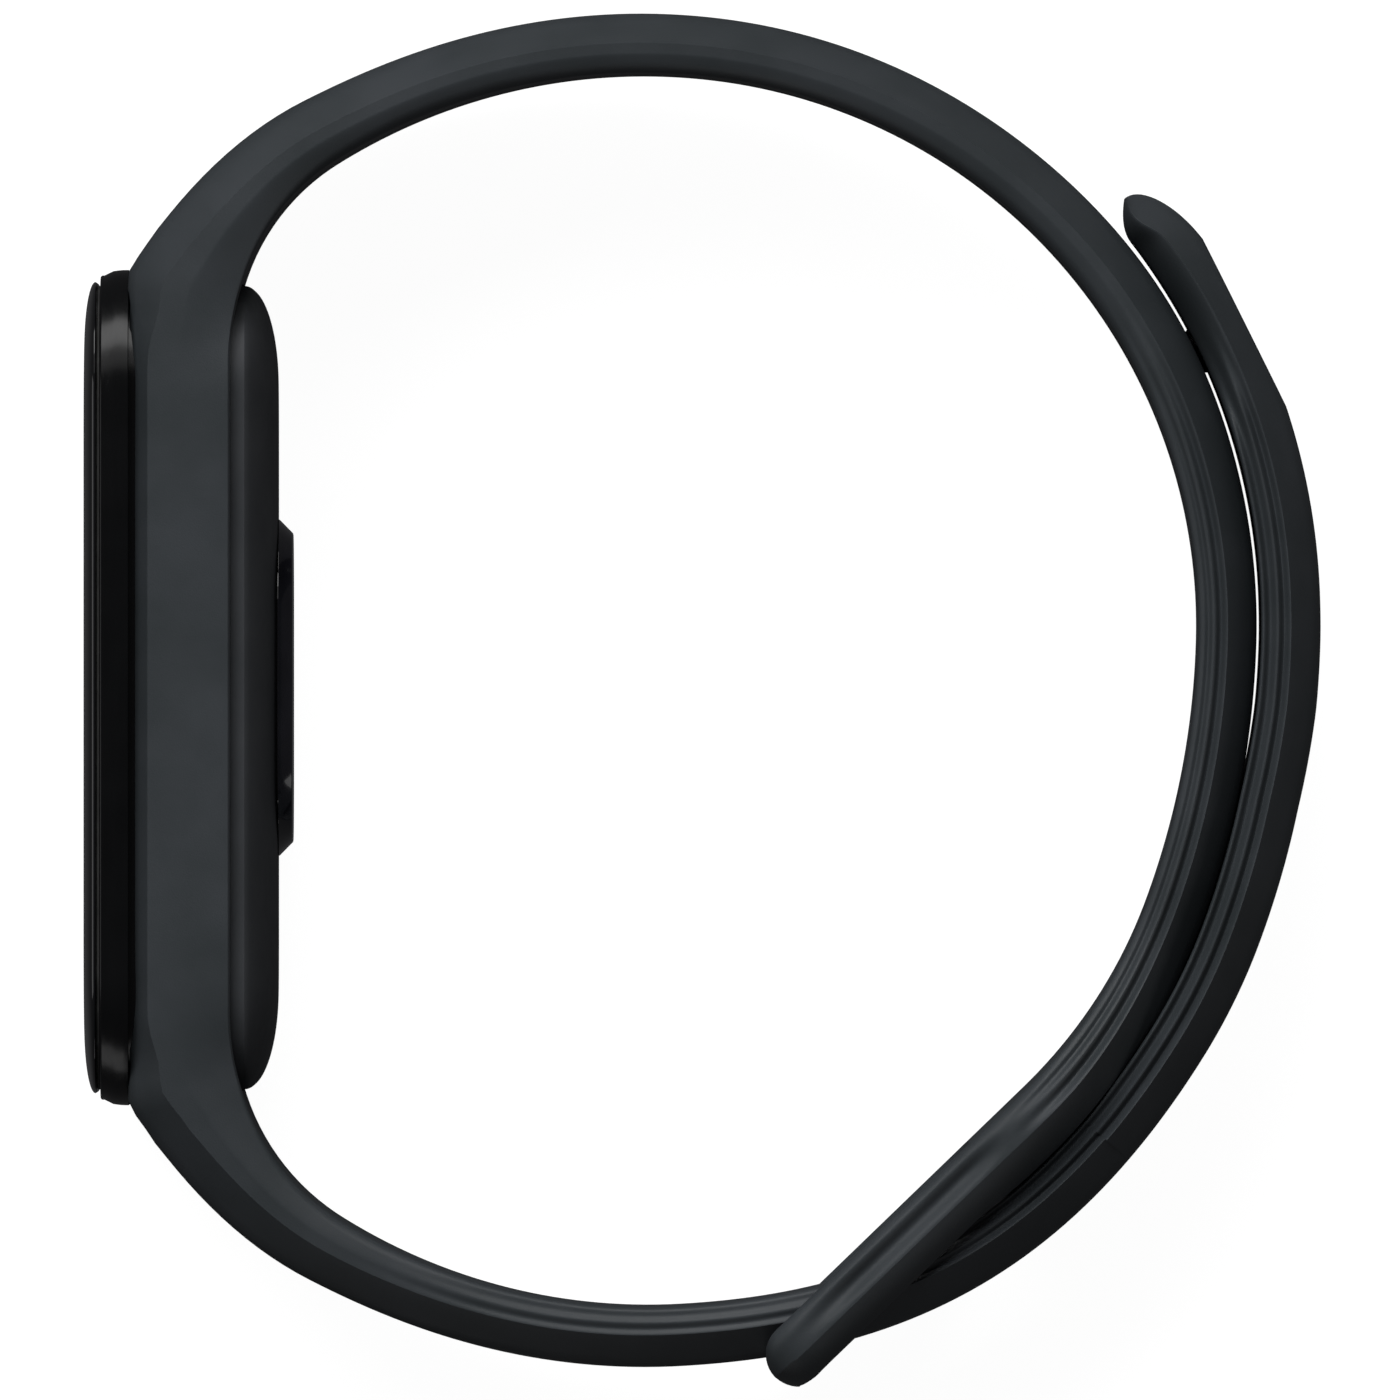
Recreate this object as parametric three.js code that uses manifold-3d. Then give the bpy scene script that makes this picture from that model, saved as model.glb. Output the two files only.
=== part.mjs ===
// A fastened fitness tracker band, lying on its side: a capsule of electronics in a soft strap.
// Millimetres. The screen faces -X, the capsule's length runs along Y, and Z runs across the band,
// so Z is parallel to the forearm. The strap's flexible pieces bend about axes parallel to Z.

import * as THREE from 'three';
import { mergeVertices } from 'three/addons/utils/BufferGeometryUtils.js';
import Module from 'manifold-3d';

const wasm = await Module();
wasm.setup();

// ---- Driving dimensions ----------------------------------------------------------------------

const BAND_WIDTH = 25.42;             // across the capsule, and the height of the lying band
const MID_Z = BAND_WIDTH / 2;
const CAPSULE_LENGTH = 42.42;
const CAPSULE_MIDDLE_Y = 0.66;
const CAPSULE_BACK_X = -21.64;        // the flat back of the rear cover
const SENSOR_RISE = 0.76;             // how far the sensor window stands out of that back
const FIT_GAP = 0.1;                  // play between the capsule and the strap's frame
const PART_GAP = 0.05;                // play between neighbouring parts inside the capsule

// Levels through the capsule, from the back of its rear cover (0) out to the glass.
const FRAME_BACK = 2.39;
const COVER_TOP = 2.9;
const SKIRT_BOTTOM = 3.3;
const FRAME_FRONT = 7.23;
const RIM_BACK = 7.53;
const RIM_FRONT = 8.98;
const GLASS_BACK = 9.14;
const GLASS_FRONT = 9.82;

const PLUG = { width: 22.8, length: 40.8, corner: 5.2 };        // the capsule behind its rim
const RIM = { width: BAND_WIDTH, length: CAPSULE_LENGTH, corner: 6.3 };
const GLASS = { width: 24.2, length: 41.2, corner: 5.8 };
const HOLLOW = { width: 20.4, length: 38.4, corner: 4.0 };      // the room inside the housing

const FRAME_END = 21.9;               // from the capsule's middle to where the strap takes over
const WIDE_HALF = 14;                 // the frame keeps its full width this far from the middle
const NARROW_FROM = 34;               // and is down to the strap's width this far from it
const STRAP_WIDTH = 18;
const TAIL_WIDTH = 17.4;
const STRAP_THICKNESS = 3.05;
const ROOT_SWELL = 2.25;              // extra thickness where the strap leaves the frame
const ROOT_SWELL_LENGTH = 4.6;
const WALL_SHARE = 0.5;               // how much of the thickness is side wall, under the crowned face
const SEAM = 0.1;                     // between neighbouring pieces of the one strap moulding

const UPPER_START = 3;                // the frame keeps this much of each strap's root
const LOOP_START = 96;                // along the upper strap
const LOOP_WIDTH = 23;
const SLOT_WIDTH = 19;
const SLOT_LENGTH = 14.2;
const LOOP_RADIUS = 1.7;              // the rounded end of the loop, seen from the side

const TAIL_GAP = 0.15;                // between the tail and the strap it lies on
const TIP_LIFT = 0.25;                // how much further off the strap the tail's tip stands
const CONTACT = 87.5;                 // along the upper strap, where the tail meets it
const TIP_AT = 46.6;                  // along the upper strap, where the tail ends
const STUD_AT = 55;                   // along the upper strap, where the stud sits in a hole
const HOLE_PITCH = 6;
const HOLES_BEFORE_STUD = 2;
const HOLES_AFTER_STUD = 5;
const HOLE = { length: 4.6, width: 3.3 };

const STUD = { shank: 1.25, tip: 1.45, head: 3.5, headThickness: 0.6 };
const CORNER_STEPS = 5;

// ---- Curves the strap follows ----------------------------------------------------------------

// A route is { length, at(distance) }, and at() gives a point with its heading in radians.

function arcPiece(x, y, heading, radius, turn) {
  const side = Math.sign(turn);
  const centreX = x - side * radius * Math.sin(heading);
  const centreY = y + side * radius * Math.cos(heading);
  const at = (distance) => {
    const turned = heading + side * distance / radius;
    return {
      x: centreX + side * radius * Math.sin(turned),
      y: centreY - side * radius * Math.cos(turned),
      heading: turned,
    };
  };
  return { length: radius * Math.abs(turn), at };
}

function straightPiece(x, y, heading, length) {
  const at = (distance) => ({
    x: x + distance * Math.cos(heading),
    y: y + distance * Math.sin(heading),
    heading,
  });
  return { length, at };
}

function bezierPiece(start, startHandle, end, endHandle) {
  const pull = (place, handle) => new THREE.Vector2(
    place.x + handle * Math.cos(place.heading),
    place.y + handle * Math.sin(place.heading),
  );
  const curve = new THREE.CubicBezierCurve(
    pull(start, 0), pull(start, startHandle), pull(end, -endHandle), pull(end, 0),
  );
  const length = curve.getLength();
  const at = (distance) => {
    const share = THREE.MathUtils.clamp(distance / length, 0, 1);
    const point = curve.getPointAt(share);
    return { x: point.x, y: point.y, heading: curve.getTangentAt(share).angle() };
  };
  return { length, at };
}

// The outer side of an earlier route, followed backwards from one place to another.
function alongsidePiece(route, from, to, distanceOff) {
  const at = (distance) => {
    const beside = route.at(from - distance);
    const off = distanceOff(distance);
    return {
      x: beside.x - off * Math.sin(beside.heading),
      y: beside.y + off * Math.cos(beside.heading),
      heading: beside.heading + Math.PI,
    };
  };
  return { length: from - to, at };
}

function joinPieces(pieces, outward) {
  const last = pieces.length - 1;
  const at = (distance) => {
    let index = 0;
    let left = distance;
    while (index < last && left > pieces[index].length) {
      left -= pieces[index].length;
      index += 1;
    }
    return pieces[index].at(left);
  };
  const length = pieces.reduce((sum, piece) => sum + piece.length, 0);
  return { length, at, outward };
}

// Tangent arcs, each [radius, degrees]; positive degrees turn left.
function arcChain(x, y, headingDegrees, turns) {
  let place = { x, y, heading: THREE.MathUtils.degToRad(headingDegrees) };
  return turns.map(([radius, degrees]) => {
    const turn = THREE.MathUtils.degToRad(degrees);
    const piece = arcPiece(place.x, place.y, place.heading, radius, turn);
    place = piece.at(piece.length);
    return piece;
  });
}

const ROOT_X = -23.2;                 // where the strap's wrist side leaves the capsule
const ROOT_Y = 21.14;                 // measured from the capsule's middle
const ROOT_HEADING = 70;
const LAST_STRAIGHT = 17.6;           // the flat stretch that ends in the loop

const upperArcs = arcChain(ROOT_X, CAPSULE_MIDDLE_Y + ROOT_Y, ROOT_HEADING,
  [[11, -38], [29.5, -39], [28, -84.7], [41.5, -18.8], [25.5, -25.5]]);
const loopPlace = upperArcs.at(-1).at(upperArcs.at(-1).length);
const loopStretch = straightPiece(loopPlace.x, loopPlace.y, loopPlace.heading, LAST_STRAIGHT);
const upperRoute = joinPieces([...upperArcs, loopStretch], 1);

const lowerArcs = arcChain(ROOT_X, CAPSULE_MIDDLE_Y - ROOT_Y, -ROOT_HEADING, [[11.6, 38], [29.4, 35]]);

// The tail's distance off the wrist side of the upper strap: its second half slowly stands away.
function tailOff(distance) {
  const share = distance / (CONTACT - TIP_AT);
  return STRAP_THICKNESS + TAIL_GAP + TIP_LIFT * Math.max(0, 2 * share - 1);
}

const tailStretch = alongsidePiece(upperRoute, CONTACT, TIP_AT, tailOff);
const bridge = bezierPiece(lowerArcs.at(-1).at(lowerArcs.at(-1).length), 10.5, tailStretch.at(0), 11.9);
const lowerRoute = joinPieces([...lowerArcs, bridge, tailStretch], -1);
const lowerContact = lowerRoute.length - tailStretch.length;

// ---- Solids ----------------------------------------------------------------------------------

// A closed body through a row of outlines that are convex and have equally many points.
function closedBody(outlines) {
  const count = outlines[0].length;
  const positions = outlines.flat().flatMap((point) => [point.x, point.y, point.z]);
  const faces = [];
  for (let ring = 0; ring + 1 < outlines.length; ring += 1) {
    for (let i = 0; i < count; i += 1) {
      const a = ring * count + i;
      const b = ring * count + (i + 1) % count;
      faces.push([a, b, b + count], [a, b + count, a + count]);
    }
  }
  const lastRing = (outlines.length - 1) * count;
  for (let i = 1; i + 1 < count; i += 1) {
    faces.push([0, i + 1, i], [lastRing, lastRing + i, lastRing + i + 1]);
  }
  if (signedVolume(positions, faces) < 0) {
    faces.forEach((face) => face.reverse());
  }
  const geometry = new THREE.BufferGeometry();
  geometry.setAttribute('position', new THREE.Float32BufferAttribute(positions, 3));
  geometry.setIndex(faces.flat());
  return geometry;
}

function signedVolume(positions, faces) {
  const corner = (index) => new THREE.Vector3().fromArray(positions, 3 * index);
  return faces.reduce((sum, [a, b, c]) => sum + corner(a).dot(corner(b).cross(corner(c))), 0);
}

function toManifold(geometry) {
  const bare = geometry.clone();
  bare.deleteAttribute('normal');
  bare.deleteAttribute('uv');
  const merged = mergeVertices(bare, 1e-4);
  return new wasm.Manifold(new wasm.Mesh({
    numProp: 3,
    vertProperties: new Float32Array(merged.attributes.position.array),
    triVerts: new Uint32Array(merged.index.array),
  }));
}

function toGeometry(solid) {
  const mesh = solid.getMesh();
  const geometry = new THREE.BufferGeometry();
  geometry.setAttribute('position', new THREE.Float32BufferAttribute(mesh.vertProperties, 3));
  geometry.setIndex(Array.from(mesh.triVerts));
  return geometry;
}

function cut(base, ...tools) {
  return toGeometry(tools.reduce((solid, tool) => solid.subtract(toManifold(tool)), toManifold(base)));
}

function join(base, ...others) {
  return toGeometry(others.reduce((solid, other) => solid.add(toManifold(other)), toManifold(base)));
}

function overlap(base, other) {
  return toGeometry(toManifold(base).intersect(toManifold(other)));
}

// The points of a rounded rectangle, with x across and y along.
function roundedOutline({ width, length, corner }) {
  const points = [];
  const centres = [[1, 1], [-1, 1], [-1, -1], [1, -1]];
  centres.forEach(([sideX, sideY], quarter) => {
    for (let step = 0; step <= CORNER_STEPS; step += 1) {
      const angle = (quarter + step / CORNER_STEPS) * Math.PI / 2;
      points.push({
        x: sideX * (width / 2 - corner) + corner * Math.cos(angle),
        y: sideY * (length / 2 - corner) + corner * Math.sin(angle),
      });
    }
  });
  return points;
}

function inset(shape, across, along = across) {
  const corner = Math.max(0.3, shape.corner - Math.min(across, along) / 2);
  return { width: shape.width - 2 * across, length: shape.length - 2 * along, corner };
}

// A body through rounded rectangles at rising levels: each is [level, shape].
function stack(levels) {
  return closedBody(levels.map(([z, shape]) => roundedOutline(shape).map(({ x, y }) => ({ x, y, z }))));
}

function slab(shape, bottom, top) {
  return stack([[bottom, shape], [top, shape]]);
}

function ring(outer, inner, bottom, top) {
  return cut(slab(outer, bottom, top), slab(inner, bottom - 1, top + 1));
}

// Levels of an edge rounded as a quarter of an ellipse, from the flat face out to the full outline.
function roundedEdge(shape, faceLevel, depth, across, along, steps = 4) {
  return Array.from({ length: steps + 1 }, (_, step) => {
    const angle = step / steps * Math.PI / 2;
    const left = 1 - Math.sin(angle);
    return [faceLevel + depth * (1 - Math.cos(angle)), inset(shape, across * left, along * left)];
  });
}

function box(width, length, height) {
  return new THREE.BoxGeometry(width, length, height);
}

// Turned about z from a closed profile of [radius, height] points.
function turned(profile, segments = 20) {
  const points = profile.map(([radius, height]) => new THREE.Vector2(radius, height));
  return new THREE.LatheGeometry(points, segments).rotateX(Math.PI / 2);
}

function disc(radius, bottom, top, segments = 20) {
  return turned([[0, bottom], [radius, bottom], [radius, top], [0, top]], segments);
}

// ---- Strap sections and lofts -----------------------------------------------------------------

function smooth(value, from, to) {
  return THREE.MathUtils.smoothstep(value, from, to);
}

// Full width of the moulding at a distance from the capsule's middle, along the strap.
function mouldingWidth(fromMiddle) {
  return THREE.MathUtils.lerp(BAND_WIDTH, STRAP_WIDTH, smooth(fromMiddle, WIDE_HALF, NARROW_FROM));
}

function rootThickness(distance) {
  return STRAP_THICKNESS + ROOT_SWELL * Math.exp(-Math.max(0, distance) / ROOT_SWELL_LENGTH);
}

// Flat on the wrist side, with a low side wall and a crowned outer face.
function strapSection(width, thickness, distance) {
  const half = width / 2;
  const settled = smooth(distance, 0, 16);
  const wall = THREE.MathUtils.lerp(thickness - 0.7, thickness * WALL_SHARE, settled);
  const squareness = THREE.MathUtils.lerp(7, 2.3, settled);
  const crown = [0.93, 0.78, 0.5, 0].map((share) => (
    [share * half, wall + (thickness - wall) * (1 - share ** squareness) ** (1 / squareness)]
  ));
  const right = [[half - 0.5, 0], [half, 0.36 * wall], [half, wall], ...crown];
  const left = right.slice(0, -1).reverse().map(([across, out]) => [-across, out]);
  return [...right, ...left];
}

function placeOn(route, distance, across, out) {
  const place = route.at(distance);
  return {
    x: place.x - route.outward * out * Math.sin(place.heading),
    y: place.y + route.outward * out * Math.cos(place.heading),
    z: MID_Z + across,
  };
}

function spread(from, to, spacing) {
  const steps = Math.max(1, Math.ceil(Math.abs(to - from) / spacing));
  return Array.from({ length: steps + 1 }, (_, i) => THREE.MathUtils.lerp(from, to, i / steps));
}

function loft(route, distances, section) {
  return closedBody(distances.map((distance) => (
    section(distance).map(([across, out]) => placeOn(route, distance, across, out))
  )));
}

// A straight prism that stands on the strap: its outline is [along, across], from one height to another.
function prismOn(route, distance, outline, low, high) {
  const place = route.at(distance);
  const ends = [low, high].map((out) => outline.map(([along, across]) => ({
    x: place.x + along * Math.cos(place.heading) - route.outward * out * Math.sin(place.heading),
    y: place.y + along * Math.sin(place.heading) + route.outward * out * Math.cos(place.heading),
    z: MID_Z + across,
  })));
  return closedBody(ends);
}

function pill(length, width) {
  const outline = roundedOutline({ width: length, length: width, corner: width / 2 - 0.01 });
  return outline.map(({ x, y }) => [x, y]);
}

// ---- The strap ---------------------------------------------------------------------------------

function frameOutline(edgeInset) {
  const stations = spread(-FRAME_END, FRAME_END, 2.2);
  const side = stations.map((y) => [mouldingWidth(Math.abs(y)) / 2 - edgeInset, y]);
  const back = side.map(([x, y]) => [-x, y]).reverse();
  return [...side, ...back];
}

function toBand(localPoint) {
  return { x: CAPSULE_BACK_X - localPoint.z, y: CAPSULE_MIDDLE_Y + localPoint.y, z: MID_Z + localPoint.x };
}

function strapFrame() {
  const levels = [[FRAME_BACK, 0], [FRAME_FRONT - 0.7, 0], [FRAME_FRONT, 0.5]];
  const hoop = closedBody(levels.map(([z, edgeInset]) => (
    frameOutline(edgeInset).map(([x, y]) => toBand({ x, y, z }))
  )));
  const root = (route) => loft(route, spread(-2.2, UPPER_START, 1.3), (distance) => (
    strapSection(mouldingWidth(FRAME_END + distance), rootThickness(distance), distance)
  ));
  const opening = inset(PLUG, -FIT_GAP);
  const hole = closedBody([-2, 12].map((z) => (
    roundedOutline(opening).map(({ x, y }) => toBand({ x, y, z }))
  )));
  return cut(join(hoop, root(upperRoute), root(lowerRoute)), hole);
}

function upperSection(distance) {
  const plain = mouldingWidth(FRAME_END + distance);
  const width = THREE.MathUtils.lerp(plain, LOOP_WIDTH, smooth(distance, LOOP_START - 13, LOOP_START - 2));
  return strapSection(width, rootThickness(distance), distance);
}

function adjustmentHole(distance) {
  return prismOn(upperRoute, distance, pill(HOLE.length, HOLE.width), -1, STRAP_THICKNESS + 1);
}

function upperStrap() {
  const body = loft(upperRoute, spread(UPPER_START + SEAM, LOOP_START, 2.4), upperSection);
  const holes = [];
  for (let i = -HOLES_BEFORE_STUD; i <= HOLES_AFTER_STUD; i += 1) {
    holes.push(adjustmentHole(STUD_AT + i * HOLE_PITCH));
  }
  return cut(body, ...holes);
}

function lowerSection(distance) {
  const plain = mouldingWidth(FRAME_END + distance);
  const width = THREE.MathUtils.lerp(plain, TAIL_WIDTH, smooth(distance, 20, 34));
  return strapSection(width, rootThickness(distance), distance);
}

// The way the lower strap takes through the loop, with room to slide.
function strapPassage() {
  const room = 0.35;
  const half = SLOT_WIDTH / 2;
  const height = STRAP_THICKNESS + room;
  return loft(lowerRoute, spread(20, lowerContact, 2), () => (
    [[half, -room], [half, height], [-half, height], [-half, -room]]
  ));
}

// The end of the upper strap: two side rails and a half-round crossbar around a slot.
function closureLoop() {
  const start = LOOP_START + SEAM;
  const end = upperRoute.length;
  const sideOutline = [[start, 0], [end, 0]];
  for (let step = 1; step < 8; step += 1) {
    const angle = -Math.PI / 2 + step / 8 * Math.PI;
    sideOutline.push([end + LOOP_RADIUS * Math.cos(angle), LOOP_RADIUS * (1 + Math.sin(angle))]);
  }
  sideOutline.push([end, 2 * LOOP_RADIUS], [end - 8, 2 * LOOP_RADIUS - 0.2], [start, STRAP_THICKNESS]);
  const block = closedBody([-LOOP_WIDTH / 2, LOOP_WIDTH / 2].map((across) => (
    sideOutline.map(([distance, out]) => placeOn(upperRoute, distance, across, out))
  )));
  const planLength = end + LOOP_RADIUS - start + 6;
  const plan = roundedOutline({ width: planLength, length: LOOP_WIDTH, corner: 5 });
  const planMiddle = end + LOOP_RADIUS - planLength / 2;
  const rounded = overlap(block, prismOn(upperRoute, end, plan.map(({ x, y }) => (
    [x + planMiddle - end, y]
  )), -3, 8));
  const slot = roundedOutline({ width: SLOT_LENGTH, length: SLOT_WIDTH, corner: 2 });
  const slotMiddle = 1.1 - SLOT_LENGTH / 2;
  const slotHole = prismOn(upperRoute, end, slot.map(({ x, y }) => [x + slotMiddle, y]), -3, 8);
  return cut(rounded, slotHole, strapPassage());
}

const STUD_ALONG_LOWER = lowerContact + CONTACT - STUD_AT;
const TAIL_HINGES = [lowerContact - 6, lowerContact + 5, lowerContact + 16.5];
const STUD_SEAT = STRAP_THICKNESS - 0.35;
const TIP_ROUNDING = 5;               // the length over which the tail's tip rounds off

function tailSection(distance) {
  const left = lowerRoute.length - distance;
  const share = Math.min(1, left / TIP_ROUNDING);
  const rounding = Math.sqrt(1 - (1 - share) ** 2);
  const width = THREE.MathUtils.lerp(5, TAIL_WIDTH, rounding);
  const tipShare = Math.min(1, left / 1.6);
  const thickness = STRAP_THICKNESS * THREE.MathUtils.lerp(0.45, 1, Math.sqrt(1 - (1 - tipShare) ** 2));
  return strapSection(width, thickness, NARROW_FROM);
}

function studFlat() {
  const outline = [[-9, -TAIL_WIDTH], [9, -TAIL_WIDTH], [9, TAIL_WIDTH], [-9, TAIL_WIDTH]];
  return prismOn(lowerRoute, STUD_ALONG_LOWER, outline, STUD_SEAT, 8);
}

function studBore(radius, low, high) {
  const circle = Array.from({ length: 20 }, (_, i) => {
    const angle = i / 20 * 2 * Math.PI;
    return [radius * Math.cos(angle), radius * Math.sin(angle)];
  });
  return prismOn(lowerRoute, STUD_ALONG_LOWER, circle, low, high);
}

function tailPiece(index) {
  const from = TAIL_HINGES[index] + SEAM;
  if (index < TAIL_HINGES.length - 1) {
    return loft(lowerRoute, spread(from, TAIL_HINGES[index + 1], 2.2), tailSection);
  }
  const tipStations = [4, 3, 2.2, 1.5, 1, 0.6, 0.3, 0.1, 0].map((left) => lowerRoute.length - left);
  const stations = [...spread(from, lowerRoute.length - 5.5, 2.2), ...tipStations];
  return cut(
    loft(lowerRoute, stations, tailSection),
    studFlat(),
    studBore(STUD.shank + PART_GAP, -1, 8),
    studBore(STUD.head + 3 * PART_GAP, STUD_SEAT - STUD.headThickness - PART_GAP, 8),
  );
}

// A flush head, a shank through the tail, and a mushroom tip that snaps into a hole of the strap.
function closureStud() {
  const tipEnd = 0.1 - tailOff(CONTACT - STUD_AT);
  const profile = [
    [0, tipEnd], [STUD.tip - 0.5, tipEnd], [STUD.tip, tipEnd + 0.6], [STUD.tip, tipEnd + 1.0],
    [STUD.shank - 0.1, tipEnd + 1.5], [STUD.shank - 0.1, -0.2], [STUD.shank, 0],
    [STUD.shank, STUD_SEAT - STUD.headThickness], [STUD.head, STUD_SEAT - STUD.headThickness],
    [STUD.head, STUD_SEAT - 0.15], [STUD.head - 0.15, STUD_SEAT], [0, STUD_SEAT],
  ];
  return turned(profile);
}

// ---- The capsule, in its own frame: x across, y along, z out through the screen ------------------

const WINDOW = { width: 15.2, length: 17.1, corner: 4.2 };
const CONTACT_PIN = { radius: 1.3, across: 3.2, along: -13 };
const MAGNET = { radius: 2, across: 7.4, along: -12.4 };
const MOTOR = { radius: 4, wall: 0.3, across: 4.4, along: 13.6, bottom: 3.2, height: 2.6 };
const COVER_FLOOR = 1.0;
const BOARD_BOTTOM = 2.5;
const BOARD_TOP = 3.1;

function coverGlass() {
  const edge = roundedEdge(GLASS, GLASS_FRONT, -(GLASS_FRONT - GLASS_BACK - 0.1), 2.6, 3.4, 5).reverse();
  return stack([[GLASS_BACK, inset(GLASS, 0.05)], ...edge]);
}

function frontHousing() {
  const outer = stack([
    [SKIRT_BOTTOM, PLUG], [RIM_BACK, PLUG], [RIM_BACK + 0.01, inset(RIM, 0.15)],
    [RIM_BACK + 0.3, RIM], [RIM_FRONT - 0.25, RIM], [RIM_FRONT, inset(RIM, 0.2)],
  ]);
  return cut(outer, slab(HOLLOW, 0, 12));
}

function rearCover() {
  const outer = stack([...roundedEdge(PLUG, 0, 1.75, 2.8, 5), [COVER_TOP, PLUG]]);
  const pinHoles = [-1, 1].map((side) => disc(CONTACT_PIN.radius + PART_GAP, -2, 4)
    .translate(side * CONTACT_PIN.across, CONTACT_PIN.along, 0));
  const windowHole = slab(inset(WINDOW, 1.2), -2, 4);
  return cut(outer, slab(HOLLOW, COVER_FLOOR, 6), windowHole, ...pinHoles);
}

function sensorWindow() {
  const chamfer = 0.7;
  const stem = inset(WINDOW, 1.2 + PART_GAP);
  const outer = stack([
    [-SENSOR_RISE, inset(WINDOW, chamfer)], [-SENSOR_RISE + chamfer, WINDOW], [-PART_GAP, WINDOW],
    [-PART_GAP + 0.01, stem], [1.4, stem],
  ]);
  return cut(outer, slab(inset(stem, 0.8), -0.1, 3));
}

function mainBoard() {
  return slab({ width: 18.4, length: 36.4, corner: 3 }, BOARD_BOTTOM, BOARD_TOP);
}

function innerBracket() {
  const plate = slab({ width: 20.2, length: 36.6, corner: 3 }, 7.25, 7.65);
  const window = { width: 12, length: 14, corner: 1.5 };
  const holes = [-8.5, 8.5].map((along) => slab(window, 7, 8).translate(0, along, 0));
  return cut(plate, ...holes);
}

// The ribbon from the display, folded in a C round the end of the battery to the main board.
function displayFlex() {
  const thickness = 0.12;
  const fold = [[-17, 7.85], [-18.75, 7.85], [-18.75, 3.2], [-17, 3.2]];
  const inner = [[-17, 3.2 + thickness], [-18.75 + thickness, 3.2 + thickness],
    [-18.75 + thickness, 7.85 - thickness], [-17, 7.85 - thickness]];
  const corners = [...fold, ...inner].map(([along, level]) => new THREE.Vector2(along, level));
  const width = 7;
  return new THREE.ExtrudeGeometry(new THREE.Shape(corners), { depth: width, bevelEnabled: false })
    .rotateY(Math.PI / 2)
    .rotateX(Math.PI / 2)
    .translate(-width / 2, 0, 0);
}

function chargingContact() {
  const flange = CONTACT_PIN.radius + 0.4;
  return turned([
    [0, 0.03], [CONTACT_PIN.radius - 0.15, 0.03], [CONTACT_PIN.radius, 0.18],
    [CONTACT_PIN.radius, COVER_FLOOR + PART_GAP], [flange, COVER_FLOOR + PART_GAP], [flange, 2.3], [0, 2.3],
  ]);
}

function lightBarrier() {
  return ring({ width: 5.6, length: 5.6, corner: 0.8 }, { width: 4.2, length: 4.2, corner: 0.4 }, 0.05, 1.5);
}

function shieldCan() {
  const outer = { width: 8.4, length: 8, corner: 0.6 };
  return cut(slab(outer, 3.15, 4.75), slab(inset(outer, 0.2), 3, 4.55));
}

function batteryCell() {
  const cell = { width: 17, length: 24, corner: 1.6 };
  const bottom = roundedEdge(cell, 3.5, 0.7, 0.7, 0.7, 3);
  const top = roundedEdge(cell, 6.9, -0.7, 0.7, 0.7, 3).reverse();
  return stack([...bottom, ...top]);
}

function motorCase() {
  const inner = MOTOR.radius - MOTOR.wall;
  return turned([
    [0, 0], [MOTOR.radius, 0], [MOTOR.radius, MOTOR.height - MOTOR.wall - PART_GAP],
    [inner, MOTOR.height - MOTOR.wall - PART_GAP], [inner, MOTOR.wall], [0, MOTOR.wall],
  ]);
}

const MOTOR_SHAFT_RADIUS = 0.5;

// The eccentric weight: half a disc around the shaft.
function motorRotor() {
  const outer = MOTOR.radius - MOTOR.wall - 0.25;
  const half = new THREE.Shape();
  half.absarc(0, 0, outer, 0, Math.PI, false);
  half.absarc(0, 0, 1.1, Math.PI, 2 * Math.PI, false);
  const bore = new THREE.Path();
  bore.absarc(0, 0, MOTOR_SHAFT_RADIUS + PART_GAP, 0, 2 * Math.PI, true);
  half.holes.push(bore);
  return new THREE.ExtrudeGeometry(half, { depth: 1.3, bevelEnabled: false, curveSegments: 10 });
}

// ---- The assembly --------------------------------------------------------------------------------

const FINISHES = {
  strap: { color: 0x25272a, roughness: 0.6, metalness: 0 },
  stud: { color: 0x2b2c2e, roughness: 0.3, metalness: 0.9 },
  glass: { color: 0x050607, roughness: 0.05, metalness: 0 },
  gloss: { color: 0x0a0b0c, roughness: 0.15, metalness: 0 },
  rear: { color: 0x15171a, roughness: 0.3, metalness: 0 },
  rubber: { color: 0x1c1c1c, roughness: 0.8, metalness: 0 },
  board: { color: 0x14402a, roughness: 0.5, metalness: 0 },
  chip: { color: 0x1a1a1c, roughness: 0.4, metalness: 0 },
  foil: { color: 0xb8babd, roughness: 0.35, metalness: 0.8 },
  steel: { color: 0xc4c6c8, roughness: 0.25, metalness: 1 },
  gold: { color: 0xc9a04a, roughness: 0.25, metalness: 1 },
  ribbon: { color: 0xb06a24, roughness: 0.5, metalness: 0 },
  lamp: { color: 0x8fd6a0, roughness: 0.3, metalness: 0 },
};

function part(name, geometry, finish, place = [0, 0, 0]) {
  const mesh = new THREE.Mesh(geometry, new THREE.MeshStandardMaterial(FINISHES[finish]));
  mesh.name = name;
  mesh.position.set(...place);
  return mesh;
}

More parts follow.
